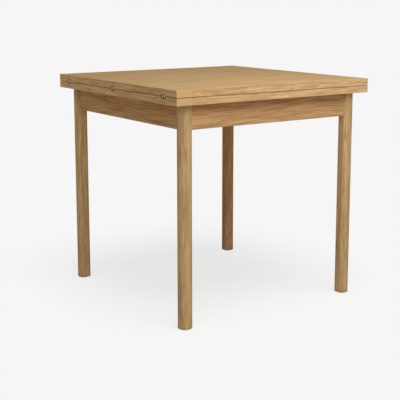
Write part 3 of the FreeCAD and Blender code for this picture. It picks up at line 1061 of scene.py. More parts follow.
def hex_nut(flats: float, bore: float, height: float) -> Shape:
    """Return a hexagonal nut with chamfered corners, standing on the origin.

    Args:
        flats: its width across flats.
        bore: diameter of its hole.
        height: of the nut.

    Returns:
        The nut's shape.
    """
    corner = flats / math.sqrt(3)
    blank = Workpiece("nut", prism(arc((0, 0), corner, 0, 300, 5), 0, height))
    cone = 0.75 * (corner - flats / 2)
    rim, wide = flats / 2 - 0.2 * MM, corner + 0.1 * MM
    blank.meet(Workpiece("cone", lathe([(rim, 0), (wide, cone), (wide, height - cone),
                                        (rim, height)])))
    hole, mouth, lead = bore / 2, bore / 2 + 0.5 * MM, 0.6 * MM
    blank.carve(Workpiece("bore", lathe([(mouth, -0.1 * MM), (hole, lead),
                                         (hole, height - lead), (mouth, height + 0.1 * MM)],
                                        40)))
    return blank.taken()


def islands(node: str) -> list[tuple[Vector, Vector]]:
    """Return the lowest and highest corners of each separate solid in a node.

    Args:
        node: a node that holds several solids which stand apart.

    Returns:
        A pair of corners for each solid.
    """
    shape = bmesh.new()
    shape.from_mesh(frame["nodes"][node].data)
    bmesh.ops.remove_doubles(shape, verts=shape.verts[:], dist=0.01 * MM)
    left, found = set(shape.verts), []
    while left:
        group, queue = set(), [left.pop()]
        while queue:
            vertex = queue.pop()
            group.add(vertex)
            for edge in vertex.link_edges:
                other = edge.other_vert(vertex)
                if other in left:
                    left.discard(other)
                    queue.append(other)
        found.append(tuple(Vector([pick(vertex.co[axis] for vertex in group)
                                   for axis in range(3)]) for pick in (min, max)))
    shape.free()
    return sorted(found, key=lambda pair: tuple(pair[0]))


# ------------------------------------------------------------------ leaves
@dataclass
class Leaf:
    """One leaf of the top: a veneered panel and its hinge rail, level at their joint.

    Attributes:
        side: upper or lower.
        finishes: the table's finishes.
        arris: radius of its outer edges.
        joint_width: width of the fine groove where panel and rail meet on the edges.
        mortise_gap: round a hinge cup.
        recess_gap: round the swivel plate.
    """

    side: str
    finishes: Finishes
    arris: float = 0.8 * MM
    joint_width: float = 0.5 * MM
    mortise_gap: float = 0.1 * MM
    recess_gap: float = 0.3 * MM

    def __post_init__(self) -> None:
        """Read the leaf's levels and its split from the frame."""
        self.low, self.high = leaf_box(self.side)
        self.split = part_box(self.side + "_leaf_hinge_rail")[1].x

    def board(self, node: str, low_x: float, high_x: float) -> Workpiece:
        """Return what lies between two places along X of the whole leaf.

        Args:
            node: the solid that it stands for.
            low_x: the place that it starts at.
            high_x: the place that it ends at.

        Returns:
            The board with eased edges and a groove at its joint on both ends.
        """
        board = Workpiece("finished_" + node, box(self.low, self.high)).ease(self.arris, 3, 50)
        half = self.joint_width / 2
        below, above = self.low.z - MM, self.high.z + MM
        for y in (self.low.y, self.high.y):
            outline = [(self.split - half, y), (self.split, y - half), (self.split + half, y),
                       (self.split, y + half)]
            board.carve(Workpiece("groove", prism(outline, below, above)))
        room = box((low_x, self.low.y - MM, below), (high_x, self.high.y + MM, above))
        return board.meet(Workpiece("room", room))

    def build(self, hinges: Sequence["LinkHinge"]) -> None:
        """Build both pieces.

        Args:
            hinges: the hinges that are let into the rail.
        """
        body = LEAF_BODIES[self.side]
        node = self.side + "_leaf_panel"
        panel = self.board(node, self.split, self.high.x + MM)
        if self.side == "lower":
            low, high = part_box("swivel_top_plate")
            diameter = high.x - low.x + 2 * self.recess_gap
            panel.carve(Workpiece("recess", disc(diameter, self.low.z - MM, high.z),
                                  place=upright((low + high) / 2)))
        Purpose(body, "oak_veneered_panel", self.finishes.panels[self.side]).fit(panel, node)
        node = self.side + "_leaf_hinge_rail"
        rail = self.board(node, self.low.x - MM, self.split)
        rail.carve(*[hinge.mortise(self.side, self.mortise_gap) for hinge in hinges])
        Purpose(body, "oak_hinge_rail", self.finishes.rails[self.side]).fit(rail, node)


# ------------------------------------------------------------------ hinges
@dataclass
class LinkHinge:
    """A concealed hinge: a cup in each leaf, a pin in each cup and two link plates.

    Attributes:
        name: front, middle or rear.
        finishes: the table's finishes.
        wall: of a cup.
        corner: radius of a cup's two deep corners.
        lip: rounding of the cup's rim.
        link_thickness: of a link plate.
        running: clearance round a pin in a link plate.
        cup_gap: below the link plates in the lower cup.
        screw: the screw that holds a cup.
    """

    name: str
    finishes: Finishes
    wall: float = 1.2 * MM
    corner: float = 6.0 * MM
    lip: float = 0.25 * MM
    link_thickness: float = 4.0 * MM
    running: float = 0.05 * MM
    cup_gap: float = 0.35 * MM
    screw: WoodScrew = WoodScrew(head=4.4 * MM, shank=2.8 * MM, length=16.0 * MM)

    def __post_init__(self) -> None:
        """Read the hinge's place from the frame."""
        low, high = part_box("upper_hinge_cup_" + self.name)
        self.fold = joint_place("leaf_fold")
        self.fold.y = (low.y + high.y) / 2
        self.rim, self.floor = low.x - self.fold.x, high.x - self.fold.x
        self.half_width = (high.y - low.y) / 2
        self.top, self.seam = high.z - self.fold.z, low.z - self.fold.z
        low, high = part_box("upper_hinge_pin_" + self.name)
        self.pin_offset = (low.x + high.x) / 2 - self.fold.x
        self.pin_radius, self.pin_half_length = (high.z - low.z) / 2, (high.y - low.y) / 2

    def placed(self, side: str) -> Matrix:
        """Return the placement of what is drawn for the upper cup, for one side."""
        flip = -1 if side == "lower" else 1
        return Matrix.Translation(self.fold) @ Matrix.Diagonal((1, flip, flip, 1))

    def arch(self, half_width: float, height: float, corner: float, reach: Span,
             foot: float) -> Shape:
        """Return a prism along X about the fold axis, with two rounded upper corners.

        Args:
            half_width: half its width along Y.
            height: level of its top.
            corner: radius of the rounded corners.
            reach: where it starts and ends along X.
            foot: level of its flat foot.

        Returns:
            The prism.
        """
        outline = [(-half_width, foot), (half_width, foot)]
        outline += arc((half_width - corner, height - corner), corner, 0, 90, 8)
        outline += arc((corner - half_width, height - corner), corner, 90, 180, 8)
        return loft([[Vector((x, y, z)) for y, z in outline] for x in reach])

    def mortise(self, side: str, gap: float) -> Workpiece:
        """Return the room that a cup takes in its leaf."""
        return Workpiece("mortise", self.arch(
            self.half_width + gap, self.top + gap, self.corner + gap, (-MM, self.floor + gap),
            -MM), place=self.placed(side))

    def cavity(self, side: str) -> float:
        """Return how deep and high a cup is inside, from the rim and from the seam."""
        if side == "upper":
            return self.top - self.wall
        return self.fold.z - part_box("hinge_links_" + self.name)[0].z + self.cup_gap

    def build_cup(self, side: str) -> None:
        """Build one cup with its screw.

        Args:
            side: upper or lower.
        """
        place, deep = self.placed(side), self.cavity(side)
        node = f"{side}_hinge_cup_{self.name}"
        piece = Workpiece("finished_" + node, self.arch(
            self.half_width, self.top, self.corner, (self.rim, self.floor), self.seam))
        head_place = aimed((deep + 0.3 * MM, 0, 0.66 * deep), (-1, 0, 0))
        seat = ((0.5 * MM - self.screw.head / 2, -3 * MM), (0.1 * MM, 0), (0.1 * MM, MM))
        piece.carve(Workpiece("cavity", self.arch(
            self.half_width - self.wall, deep, self.corner - self.wall, (0, deep), -MM)),
            self.screw.seat(head_place, seat))
        piece.ease(self.lip).move(place)
        Purpose(LEAF_BODIES[side], "hinge_cup_metal", self.finishes.cup).fit(piece, node)
        Purpose(LEAF_BODIES[side], "zinc_steel", self.finishes.zinc).add(
            f"{side}_hinge_screw_{self.name}", self.screw.shape(), place=place @ head_place)

    def build_pin(self, side: str) -> None:
        """Build the pin of one cup.

        Args:
            side: upper or lower.
        """
        centre = self.placed(side) @ Vector((self.pin_offset, 0, self.pin_offset))
        rod = disc(2 * self.pin_radius, -self.pin_half_length, self.pin_half_length,
                   0.2 * MM, 24)
        Purpose(LEAF_BODIES[side], "zinc_steel", self.finishes.pin).make(
            f"{side}_hinge_pin_{self.name}", rod, place=aimed(centre, (0, 1, 0)))

    def obround(self, x: float, ends: Span, radius: float, thickness: float) -> Shape:
        """Return an upright plate with two round ends, across the Y axis."""
        outline = arc((x, ends[1]), radius, 0, 180, 16) + arc((x, ends[0]), radius, 180, 360, 16)
        return loft([[Vector((px, side * thickness / 2, pz)) for px, pz in outline]
                     for side in (-1, 1)])

    def build_links(self) -> None:
        """Build the pair of link plates, each with its pin hole and its slot."""
        node = "hinge_links_" + self.name
        low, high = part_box(node)
        radius = (high.x - low.x) / 2
        middle = (low.x + high.x) / 2 - self.fold.x
        ends = (low.z + radius - self.fold.z, high.z - radius - self.fold.z)
        hole, thickness = self.pin_radius + self.running, self.link_thickness
        plates = []
        for side in (-1, 1):
            y = side * ((high.y - low.y) / 2 - thickness / 2)
            plate = Workpiece("plate", self.obround(middle, ends, radius, thickness))
            plate.carve(
                Workpiece("hole", disc(2 * hole, -thickness, thickness, segments=24),
                          place=aimed((middle, 0, ends[0]), (0, 1, 0))),
                Workpiece("slot", self.obround(middle, (self.pin_offset, ends[1]), hole,
                                               2 * thickness)),
            )
            place = Matrix.Translation(self.fold + Vector((0, y, 0)))
            plates.append(plate.ease(0.2 * MM).taken(place))
        Purpose("hinge_links", "hinge_link_steel", self.finishes.link).make(node, *plates)

    def build(self) -> None:
        """Build the hinge's cups, screws, pins and links."""
        for side in LEAF_BODIES:
            self.build_cup(side)
            self.build_pin(side)
        self.build_links()


# ------------------------------------------------------------------ stand
@dataclass
class Leg:
    """A round leg with a flat for each of its two aprons, its bolt, block and glide.

    Attributes:
        corner: which leg it is.
        finishes: the table's finishes.
        flat: from the leg's axis to its flats.
        soft: rounding of the edges beside the flats.
        foot_rounding: radius of the edge at the foot.
        half_apron: half the thickness of an apron.
        block_near: from the leg's axis to the near side of the block, along the diagonal.
        block_depth: of the block along the diagonal.
        block_nose: how deep the block's thin ends are cut off.
        screw: a screw from the block into an apron.
        screw_along: from the leg's axis to the screw, along the apron.
        screw_grip: wood between the screw's head and the apron.
        bolt_in_leg: how deep the bolt is in the leg.
        bolt_diameter: of the hanger bolt.
        bolt_pitch: of its thread.
        bolt_gap: how much wider its holes are.
        bolt_plain: from the hole's inner end to the thread.
        bolt_past: how far the bolt stands past its nut.
        nut_flats: width of the nut across flats.
        nut_height: of the nut.
    """

    corner: str
    finishes: Finishes
    flat: float = 20.03 * MM
    soft: float = 0.35 * MM
    foot_rounding: float = 2.6 * MM
    half_apron: float = 11.0 * MM
    block_near: float = 27.5 * MM
    block_depth: float = 30.0 * MM
    block_nose: float = 4.0 * MM
    screw: WoodScrew = WoodScrew(head=8.0 * MM, shank=4.0 * MM, length=24.0 * MM)
    screw_along: float = 52.0 * MM
    screw_grip: float = 8.0 * MM
    bolt_in_leg: float = 22.0 * MM
    bolt_diameter: float = 8.0 * MM
    bolt_pitch: float = 1.25 * MM
    bolt_gap: float = 0.1 * MM
    bolt_plain: float = 12.0 * MM
    bolt_past: float = 3.0 * MM
    nut_flats: float = 13.0 * MM
    nut_height: float = 6.5 * MM

    def __post_init__(self) -> None:
        """Read the leg's place from the frame."""
        low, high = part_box("leg_" + self.corner)
        self.foot, self.head = low.z, high.z
        self.side_x = 1 if "right" in self.corner else -1
        self.side_y = 1 if "rear" in self.corner else -1
        outer = Vector((high.x if self.side_x > 0 else low.x,
                        high.y if self.side_y > 0 else low.y))
        self.radius = high.x - low.x - self.flat
        self.axis = Vector((outer.x - self.side_x * self.radius,
                            outer.y - self.side_y * self.radius, 0))
        self.inward = Vector((-self.side_x, -self.side_y, 0)).normalized()
        self.block_low, self.block_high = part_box("corner_block_" + self.corner)
        self.bolt_origin = self.axis + UP * ((self.block_low.z + self.block_high.z) / 2)

    def outline(self, inset: float) -> list[Vector]:
        """Return the leg's section, drawn in by an inset, with its flats towards +X and +Y.

        Args:
            inset: how far the section is drawn in.

        Returns:
            The section's points, about the leg's axis.
        """
        points = []
        for step in range(LEG_SIDES):
            turn = 2 * math.pi * step / LEG_SIDES
            reach = self.radius - inset
            for along in (math.cos(turn), math.sin(turn)):
                if along > 0.5:
                    flat = (self.flat - inset) / along
                    share = max(0.0, 1 - abs(reach - flat) / self.soft)
                    reach = min(reach, flat) - self.soft * share * share / 4
            points.append(Vector((reach * math.cos(turn), reach * math.sin(turn), 0)))
        return points

    def cornered(self, node: str, shape: Shape) -> Workpiece:
        """Return a piece from what is drawn with the corner's inner side towards +X and +Y.

        Args:
            node: the solid that it stands for.
            shape: what is drawn.

        Returns:
            The piece.
        """
        mirror = Matrix.Diagonal((-self.side_x, -self.side_y, 1, 1))
        piece = Workpiece("finished_" + node, shape, place=Matrix.Translation(self.axis) @ mirror)
        if self.side_x * self.side_y < 0:
            piece.object.data.flip_normals()
        return piece

    def bolt_room(self, start: float, length: float) -> Workpiece:
        """Return the bolt's hole, from a distance inward of the leg's axis."""
        return Workpiece("bolt_hole", disc(self.bolt_diameter + self.bolt_gap, 0, length),
                         place=aimed(self.bolt_origin + self.inward * start, self.inward))

    def build_leg(self) -> None:
        """Build the leg itself, with a rounded foot."""
        bends = [math.radians(angle) for angle in (90, 67.5, 45, 22.5, 0)]
        levels = [(self.foot_rounding * (1 - math.cos(bend)),
                   self.foot + self.foot_rounding * (1 - math.sin(bend))) for bend in bends]
        levels += [(0.0, self.foot + (self.head - self.foot) * share)
                   for share in (0.02, 0.15, 0.3, 0.45, 0.6, 0.75, 0.9)]
        levels += [(0.0, self.head - 0.5 * MM), (0.5 * MM, self.head)]
        node = "leg_" + self.corner
        piece = self.cornered(node, loft([
            [point + Vector((0, 0, level)) for point in self.outline(inset)]
            for inset, level in levels]))
        piece.carve(self.bolt_room(self.radius - self.bolt_in_leg, 40 * MM))
        oak = Purpose("stand", "oak_leg", self.finishes.legs[self.corner])
        oak.fit(piece, node, angle=25)

    def build_block(self) -> None:
        """Build the corner block, with a pocket for a screw into each apron, and its screws."""
        near = self.block_near * math.sqrt(2) - self.half_apron
        far = (self.block_near + self.block_depth) * math.sqrt(2) - self.half_apron
        nose, inner = far - self.block_nose, self.half_apron
        node = "corner_block_" + self.corner
        piece = self.cornered(node, prism([
            (near, inner), (nose, inner), (nose, inner + self.block_nose),
            (inner + self.block_nose, nose), (inner, nose), (inner, near),
        ], self.block_low.z, self.block_high.z))
        piece.ease(0.5 * MM, 2, 30)
        piece.carve(self.bolt_room(self.block_near - 5 * MM, self.block_depth + 10 * MM))
        along, deep = self.screw_along, inner + self.screw_grip
        places = [aimed(self.bolt_origin - Vector((self.side_x * x, self.side_y * y, 0)), facing)
                  for x, y, facing in ((along, deep, (0, -self.side_y, 0)),
                                       (deep, along, (-self.side_x, 0, 0)))]
        pocket = ((-2 * MM, -2 * MM), (0.3 * MM, 0), (0.8 * MM, 40 * MM))
        piece.carve(*[self.screw.seat(place, pocket) for place in places])
        Purpose("stand", "beech_block", self.finishes.block).fit(piece, node)
        Purpose("stand", "zinc_steel", self.finishes.zinc).add(
            "block_screws_" + self.corner, *copies(self.screw.shape, places))

    def bolt_shapes(self) -> tuple[Shape, Shape]:
        """Return the threaded hanger bolt and its nut, in place.

        Returns:
            The bolt's shape and the nut's.
        """
        far = self.block_near + self.block_depth
        bolt = threaded_rod(self.bolt_diameter, self.bolt_pitch,
                            self.radius - self.bolt_in_leg + self.bolt_plain,
                            far + self.nut_height + self.bolt_past)
        bolt.transform(aimed(self.bolt_origin, self.inward))
        nut = hex_nut(self.nut_flats, self.bolt_diameter, self.nut_height)
        nut.transform(aimed(self.bolt_origin + self.inward * far, self.inward))
        return bolt, nut


@dataclass
class Stand:
    """The stand: four legs, four aprons, two cross rails and what holds them together.

    Attributes:
        finishes: the table's finishes.
        apron_arris: radius of the aprons' long edges.
        rail_arris: radius of the cross rails' long edges.
        housing_gap: round a rail's end in its apron.
        recess_gap: round the base plate in its rail.
        bush_bore: diameter of the rail's bore for the bush.
        glide_radius: of a foot glide.
        felt_soft: rounding of the felt's edges.
        felt_cell: from one of the felt's points to the next.
    """

    finishes: Finishes
    apron_arris: float = 1.2 * MM
    rail_arris: float = 0.8 * MM
    housing_gap: float = 0.1 * MM
    recess_gap: float = 0.3 * MM
    bush_bore: float = 18.2 * MM
    glide_radius: float = 15.0 * MM
    felt_soft: float = 0.5 * MM
    felt_cell: float = 1.5 * MM

    def __post_init__(self) -> None:
        """Set out the four legs."""
        self.legs = [Leg(corner, self.finishes) for corner in CORNERS]

    def board(self, name: str, along_x: bool, arris: float) -> Workpiece:
        """Return a board at a node's place, its long edges eased and its ends square.

        Args:
            name: the board's node.
            along_x: whether it runs along X, and not along Y.
            arris: radius of its long edges.

        Returns:
            The board.
        """
        low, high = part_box(name)
        middle, half = (low + high) / 2, (high - low) / 2
        outline = rounded_rectangle(half.y if along_x else half.x, half.z, arris, 3)
        return Workpiece("finished_" + name, loft([[
            Vector((place, middle.y + across, middle.z + up)) if along_x
            else Vector((middle.x + across, place, middle.z + up))
            for across, up in outline
        ] for place in ((low.x, high.x) if along_x else (low.y, high.y))]))

    def rail_end_room(self, rail: str) -> Workpiece:
        """Return the room of a rail's end in the aprons.

        Args:
            rail: the rail's node.

        Returns:
            The room, to be carved out.
        """
        low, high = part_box(rail)
        gap = Vector((self.housing_gap,) * 3)
        return Workpiece("housing", box(low - gap, high + gap))

    def fitting_room(self) -> tuple[Workpiece, Workpiece]:
        """Return the recess and the bore of the swivel fitting in its rail.

        Returns:
            Both rooms, to be carved out.
        """
        low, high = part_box("swivel_base_plate")
        half, gap = (high - low) / 2, self.recess_gap
        outline = rounded_rectangle(half.x + gap, half.y + gap, BASE_PLATE_CORNER + gap)
        place = upright((low + high) / 2)
        bush_low, bush_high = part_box("pivot_bush")
        return (Workpiece("recess", prism(outline, low.z, high.z + 5 * MM), place=place),
                Workpiece("bore", disc(self.bush_bore, bush_low.z - MM, bush_high.z + MM),
                          place=place))

    def build_boards(self) -> None:
        """Build the aprons, with the rails housed in the long ones, and the rails."""
        for name in APRONS:
            piece = self.board(name, name in LONG_APRONS, self.apron_arris)
            if name in LONG_APRONS:
                piece.carve(*[self.rail_end_room(rail) for rail in CROSS_RAILS])
            Purpose("stand", "oak_apron", self.finishes.aprons[name]).fit(piece, name)
        for name in CROSS_RAILS:
            piece = self.board(name, False, self.rail_arris)
            if name == "pivot_rail":
                piece.carve(*self.fitting_room())
            Purpose("stand", "beech_rail", self.finishes.cross_rail).fit(piece, name)

    def build_bolts(self) -> None:
        """Build the hanger bolts and their nuts, each kind as one group."""
        bolts, nuts = zip(*[leg.bolt_shapes() for leg in self.legs])
        steel = Purpose("stand", "zinc_steel", self.finishes.zinc)
        steel.make("hanger_bolts", *bolts, angle=60)
        steel.make("hanger_nuts", *nuts)

    def build_glides(self) -> None:
        """Build the four glides, a little domed towards the floor."""
        low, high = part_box("foot_glides")
        radius = self.glide_radius
        profile = [(1 * MM, low.z), (radius - 1.6 * MM, low.z + 0.1 * MM),
                   (radius - 0.5 * MM, low.z + 0.5 * MM), (radius, low.z + 1.1 * MM),
                   (radius, high.z)]
        glides = copies(lambda: lathe(profile, 56), [upright(leg.axis) for leg in self.legs])
        Purpose("stand", "glide_plastic", self.finishes.glide).make("foot_glides", *glides)

    def felt(self, middle: Vector, half: Vector) -> Shape:
        """Return one felt strip with soft edges and an uneven face.

        Args:
            middle: of the strip.
            half: half its size.

        Returns:
            The strip's shape.
        """
        cells = [max(2, round(2 * side / self.felt_cell)) for side in half]
        cells[2] = 2
        shape = bmesh.new()
        bmesh.ops.create_cube(shape, size=2.0)
        for axis, count in enumerate(cells):
            edges = [edge for edge in shape.edges
                     if abs((edge.verts[0].co - edge.verts[1].co).normalized()[axis]) > 0.99]
            bmesh.ops.subdivide_edges(shape, edges=edges, cuts=count - 1, use_grid_fill=True)
        soft = self.felt_soft
        for vertex in shape.verts:
            place = Vector([vertex.co[axis] * half[axis] for axis in range(3)])
            fuzz = noise.noise((middle + place) * FELT_FUZZ) * 0.12 * MM
            near = [half[axis] - abs(place[axis]) for axis in range(3)]
            rounding = sum(soft * max(0.0, 1 - gap / soft) for gap in near[:2])
            if near[2] < MM / 10:
                place.z -= math.copysign(0.45 * rounding + 0.06 * MM + abs(fuzz), place.z)
            for axis in range(2):
                if near[axis] < MM / 10:
                    place[axis] -= math.copysign(0.12 * MM + abs(fuzz), place[axis])
            vertex.co = middle + place
        return shape

    def build_felt(self) -> None:
        """Build the felt under the top: pads on the legs, strips on aprons and rails."""
        grey = Purpose("stand", "grey_felt", self.finishes.felt)
        for node in ("leg_felt_pads", "apron_felt_strips", "rail_felt_strips"):
            strips = [self.felt((low + high) / 2, (high - low) / 2)
                      for low, high in islands(node)]
            grey.make(node, *strips, angle=70)

    def build(self) -> None:
        """Build the whole stand."""
        for leg in self.legs:
            leg.build_leg()
            leg.build_block()
        self.build_boards()
        self.build_bolts()
        self.build_glides()
        self.build_felt()


# ------------------------------------------------------------------ swivel fitting
@dataclass
class SwivelFitting:
    """The pivot: base plate, slide disc and bush on the stand, top plate and stud above.

    Attributes:
        finishes: the table's finishes.
        stop_radius: from the pivot to the middle of the stop pin.
        stop_start: angle of the stop pin with the top folded, in degrees.
        stop_gap: how much wider the slot is than the pin.
        screw_inset: from the plates' edges to their screws.
        stud_bore: radius of the bores round the stud.
        bush_tube: outer radius of the bush below its flange.
        bush_flange: thickness of the flange.
        stud_diameter: of the stud.
        thread_diameter: of its threaded end.
        thread_pitch: of the thread.
        nut_bore: radius of the bores round the threaded end.
        nut_flats: width of the locknut across flats.
        nut_collar: height of its domed collar.
        screw: the screw that holds both plates.
    """

    finishes: Finishes
    stop_radius: float = 39.0 * MM
    stop_start: float = -45.0
    stop_gap: float = 0.5 * MM
    screw_inset: float = 12.0 * MM
    stud_bore: float = 6.05 * MM
    bush_tube: float = 9.05 * MM
    bush_flange: float = 2.0 * MM
    stud_diameter: float = 12.0 * MM
    thread_diameter: float = 10.0 * MM
    thread_pitch: float = 1.5 * MM
    nut_bore: float = 5.05 * MM
    nut_flats: float = 17.0 * MM
    nut_collar: float = 3.0 * MM
    screw: WoodScrew = WoodScrew(head=8.2 * MM, shank=4.5 * MM, length=20 * MM)

    def __post_init__(self) -> None:
        """Read the pivot's place from the frame."""
        self.place = upright(joint_place("top_swivel"))
        self.fixed = Purpose("stand", "zinc_steel", self.finishes.zinc)
        self.turning = Purpose("swivel_top", "zinc_steel", self.finishes.zinc)

    def screwed(self, kind: Purpose, node: str, plate: Workpiece, screws: str,
                places: Sequence[Matrix], lip: float = 0.0) -> None:
        """Sink a plate's screws, move both to the pivot and put them in the table.

        Args:
            kind: what the plate and its screws have in common.
            node: the plate's solid.
            plate: the plate, about the origin.
            screws: the name of the group of screws.
            places: where the screws' heads are.
            lip: how far the plate's edges are eased, if they are.
        """
        cone = ((-2.4 * MM, -2.6 * MM), (0.1 * MM, 0), (0.1 * MM, 0.2 * MM))
        plate.carve(*[self.screw.seat(place, cone) for place in places])
        if lip:
            plate.ease(lip)
        kind.fit(plate.move(self.place), node)
        kind.add(screws, *copies(self.screw.shape, places), place=self.place)

    def slot(self, width: float) -> list[Point]:
        """Return the outline of the quarter-circle slot for the stop pin.

        Args:
            width: of the slot.

        Returns:
            The outline, about the pivot.
        """
        start, end = self.stop_start, self.stop_start + 90
        inner, outer = self.stop_radius - width / 2, self.stop_radius + width / 2
        end_middle = arc((0, 0), self.stop_radius, end, start, 1)
        return (arc((0, 0), outer, start, end, 24)
                + arc(end_middle[0], width / 2, end, end + 180, 10)[1:-1]
                + arc((0, 0), inner, end, start, 24)
                + arc(end_middle[1], width / 2, start + 180, start + 360, 10)[1:-1])

    def build_base(self) -> None:
        """Build the base plate with its slot and its four screws."""
        node = "swivel_base_plate"
        low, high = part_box(node)
        pin_low, pin_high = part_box("stop_pin")
        half, below, above = (high - low) / 2, low.z - MM, high.z + MM
        outline = rounded_rectangle(half.x, half.y, BASE_PLATE_CORNER)
        plate = Workpiece("finished_" + node, prism(outline, low.z, high.z))
        slot = self.slot(pin_high.x - pin_low.x + self.stop_gap)
        plate.carve(Workpiece("slot", prism(slot, below, above)),
                    Workpiece("bore", disc(2 * self.stud_bore, below, above)))
        places = [Matrix.Translation((x, y, high.z))
                  for x in (self.screw_inset - half.x, half.x - self.screw_inset)
                  for y in (self.screw_inset - half.y, half.y - self.screw_inset)]
        self.screwed(self.fixed, node, plate, "base_plate_screws", places, 0.25 * MM)

    def build_slides(self) -> None:
        """Build the nylon slide disc and the flanged bush."""
        node, bore = "swivel_slide_disc", self.stud_bore
        low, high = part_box(node)
        ring = washer(bore, (high.x - low.x) / 2, low.z, high.z, 0.2 * MM, 96)
        Purpose("stand", "nylon", self.finishes.nylon).make(node, ring, place=self.place)
        low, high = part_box("pivot_bush")
        flange, tube, soft = (high.x - low.x) / 2, self.bush_tube, 0.3 * MM
        step = low.z + self.bush_flange
        profile = [(bore + soft, low.z), (flange - soft, low.z), (flange, low.z + soft),
                   (flange, step - soft), (flange - soft, step), (tube, step),
                   (tube, high.z), (bore, high.z), (bore, low.z + soft)]
        Purpose("stand", "bronze", self.finishes.bronze).make(
            "pivot_bush", lathe(profile, 72, bored=True), place=self.place)

    def build_top(self) -> None:
        """Build the round top plate, its screws and the stop pin."""
        node = "swivel_top_plate"
        low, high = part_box(node)
        radius = (high.x - low.x) / 2
        plate = Workpiece("finished_" + node, disc(2 * radius, low.z, high.z, 0.4 * MM, 120))
        flip = Matrix.Rotation(math.pi, 4, Vector((1, 0, 0)))
        places = [Matrix.Translation((x, y, low.z)) @ flip
                  for x, y in arc((0, 0), radius - self.screw_inset, 0, 270, 3)]
        self.screwed(self.turning, node, plate, "top_plate_screws", places)
        low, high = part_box("stop_pin")
        self.turning.make("stop_pin", disc(high.x - low.x, low.z, high.z, 0.3 * MM, 32),
                          place=upright((low + high) / 2))

    def build_stud(self) -> None:
        """Build the stud with its threaded end, the washer and the locknut."""
        low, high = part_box("pivot_washer")
        top, outer, bore = high.z, (high.x - low.x) / 2, self.nut_bore
        stud_low, stud_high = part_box("pivot_stud")
        self.turning.make(
            "pivot_stud", disc(self.stud_diameter, top, stud_high.z, 0.3 * MM, 40),
            threaded_rod(self.thread_diameter, self.thread_pitch, stud_low.z, top + 0.2 * MM,
                         28, 8),
            place=self.place, angle=60)
        self.turning.make("pivot_washer", washer(bore, outer, low.z, top, 0.25 * MM, 64),
                          place=self.place)
        low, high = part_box("pivot_locknut")
        collar, wide = low.z + self.nut_collar, 7.5 * MM
        nut = hex_nut(self.nut_flats, self.thread_diameter, high.z - collar)
        nut.transform(Matrix.Translation((0, 0, collar)))
        dome = [(bore, low.z), (6.6 * MM, low.z), (7.3 * MM, low.z + 0.5 * MM),
                (wide, low.z + 1.2 * MM), (wide, collar), (bore, collar)]
        self.turning.make("pivot_locknut", nut, lathe(dome, 56, bored=True), place=self.place)

    def build(self) -> None:
        """Build the whole fitting."""
        self.build_base()
        self.build_slides()
        self.build_top()
        self.build_stud()


# ------------------------------------------------------------------ the folded top
@dataclass
class FoldingTop:
    """Both leaves, the hinges between them and the dots that the upper leaf rests on.

    Attributes:
        finishes: the table's finishes.
    """

    finishes: Finishes

    def build_dots(self) -> None:
        """Build the small domed dots of clear rubber."""
        bends = [math.radians(angle) for angle in range(0, 90, 15)]
        dots = []
        for low, high in islands("leaf_rest_dots"):
            radius, rise = (high.x - low.x) / 2, high.z - low.z
            profile = [(radius * math.cos(bend) ** 0.5, low.z + rise * math.sin(bend))
                       for bend in bends]
            dots += copies(lambda: lathe(profile, 32), [upright((low + high) / 2)])
        Purpose("swivel_top", "clear_rubber", self.finishes.rubber).make("leaf_rest_dots", *dots)

    def build(self) -> None:
        """Build the whole top."""
        hinges = [LinkHinge(name, self.finishes) for name in HINGES]
        for side in ("lower", "upper"):
            Leaf(side, self.finishes).build(hinges)
        for hinge in hinges:
            hinge.build()
        self.build_dots()


# ------------------------------------------------------------------ studio
class Lights(Enum):
    """What a lamp lights, as Blender's name for the floor's place among what it reaches."""

    TABLE = "EXCLUDE"
    FLOOR = "INCLUDE"


@dataclass(frozen=True)
class Lamp:
    """A lamp of the studio.

    Attributes:
        name: the lamp's name.
        towards: the direction from what it looks at to the lamp.
        power: a sun's light on a face that looks at it, as a share of full light, or watts.
        width: of a sun in the sky, in degrees, or of a softbox's side in metres.
        lights: the table or the floor.
        colour: of its light.
        place: where a softbox hangs. A lamp without one is a sun.
    """

    name: str
    towards: tuple[float, float, float]
    power: float
    width: float
    lights: Lights = Lights.TABLE
    colour: tuple[float, float, float] = (1.0, 1.0, 1.0)
    place: tuple[float, float, float] | None = None

    def on_floor(self) -> float:
        """Return how much light it gives to the open floor."""
        if self.lights is Lights.TABLE:
            return 0.0
        return self.power * Vector(self.towards).normalized().z

    def hang(self, floor: bpy.types.Object) -> None:
        """Hang the lamp, which lights the table alone or the floor alone.

        Args:
            floor: the floor's object.
        """
        lamp = bpy.data.lights.new(self.name, "AREA" if self.place else "SUN")
        holder = bpy.data.objects.new(self.name, lamp)
        bpy.context.scene.collection.objects.link(holder)
        holder.rotation_euler = Vector(self.towards).to_track_quat("Z", "Y").to_euler()
        lamp.color = self.colour
        if self.place:
            holder.location = self.place
            lamp.energy = self.power
            lamp.size = self.width
        else:
            lamp.energy = math.pi * self.power
            lamp.angle = math.radians(self.width)
        reached = bpy.data.collections.new(self.name + "_floor")
        reached.objects.link(floor)
        reached.collection_objects[0].light_linking.link_state = self.lights.value
        holder.light_linking.receiver_collection = reached


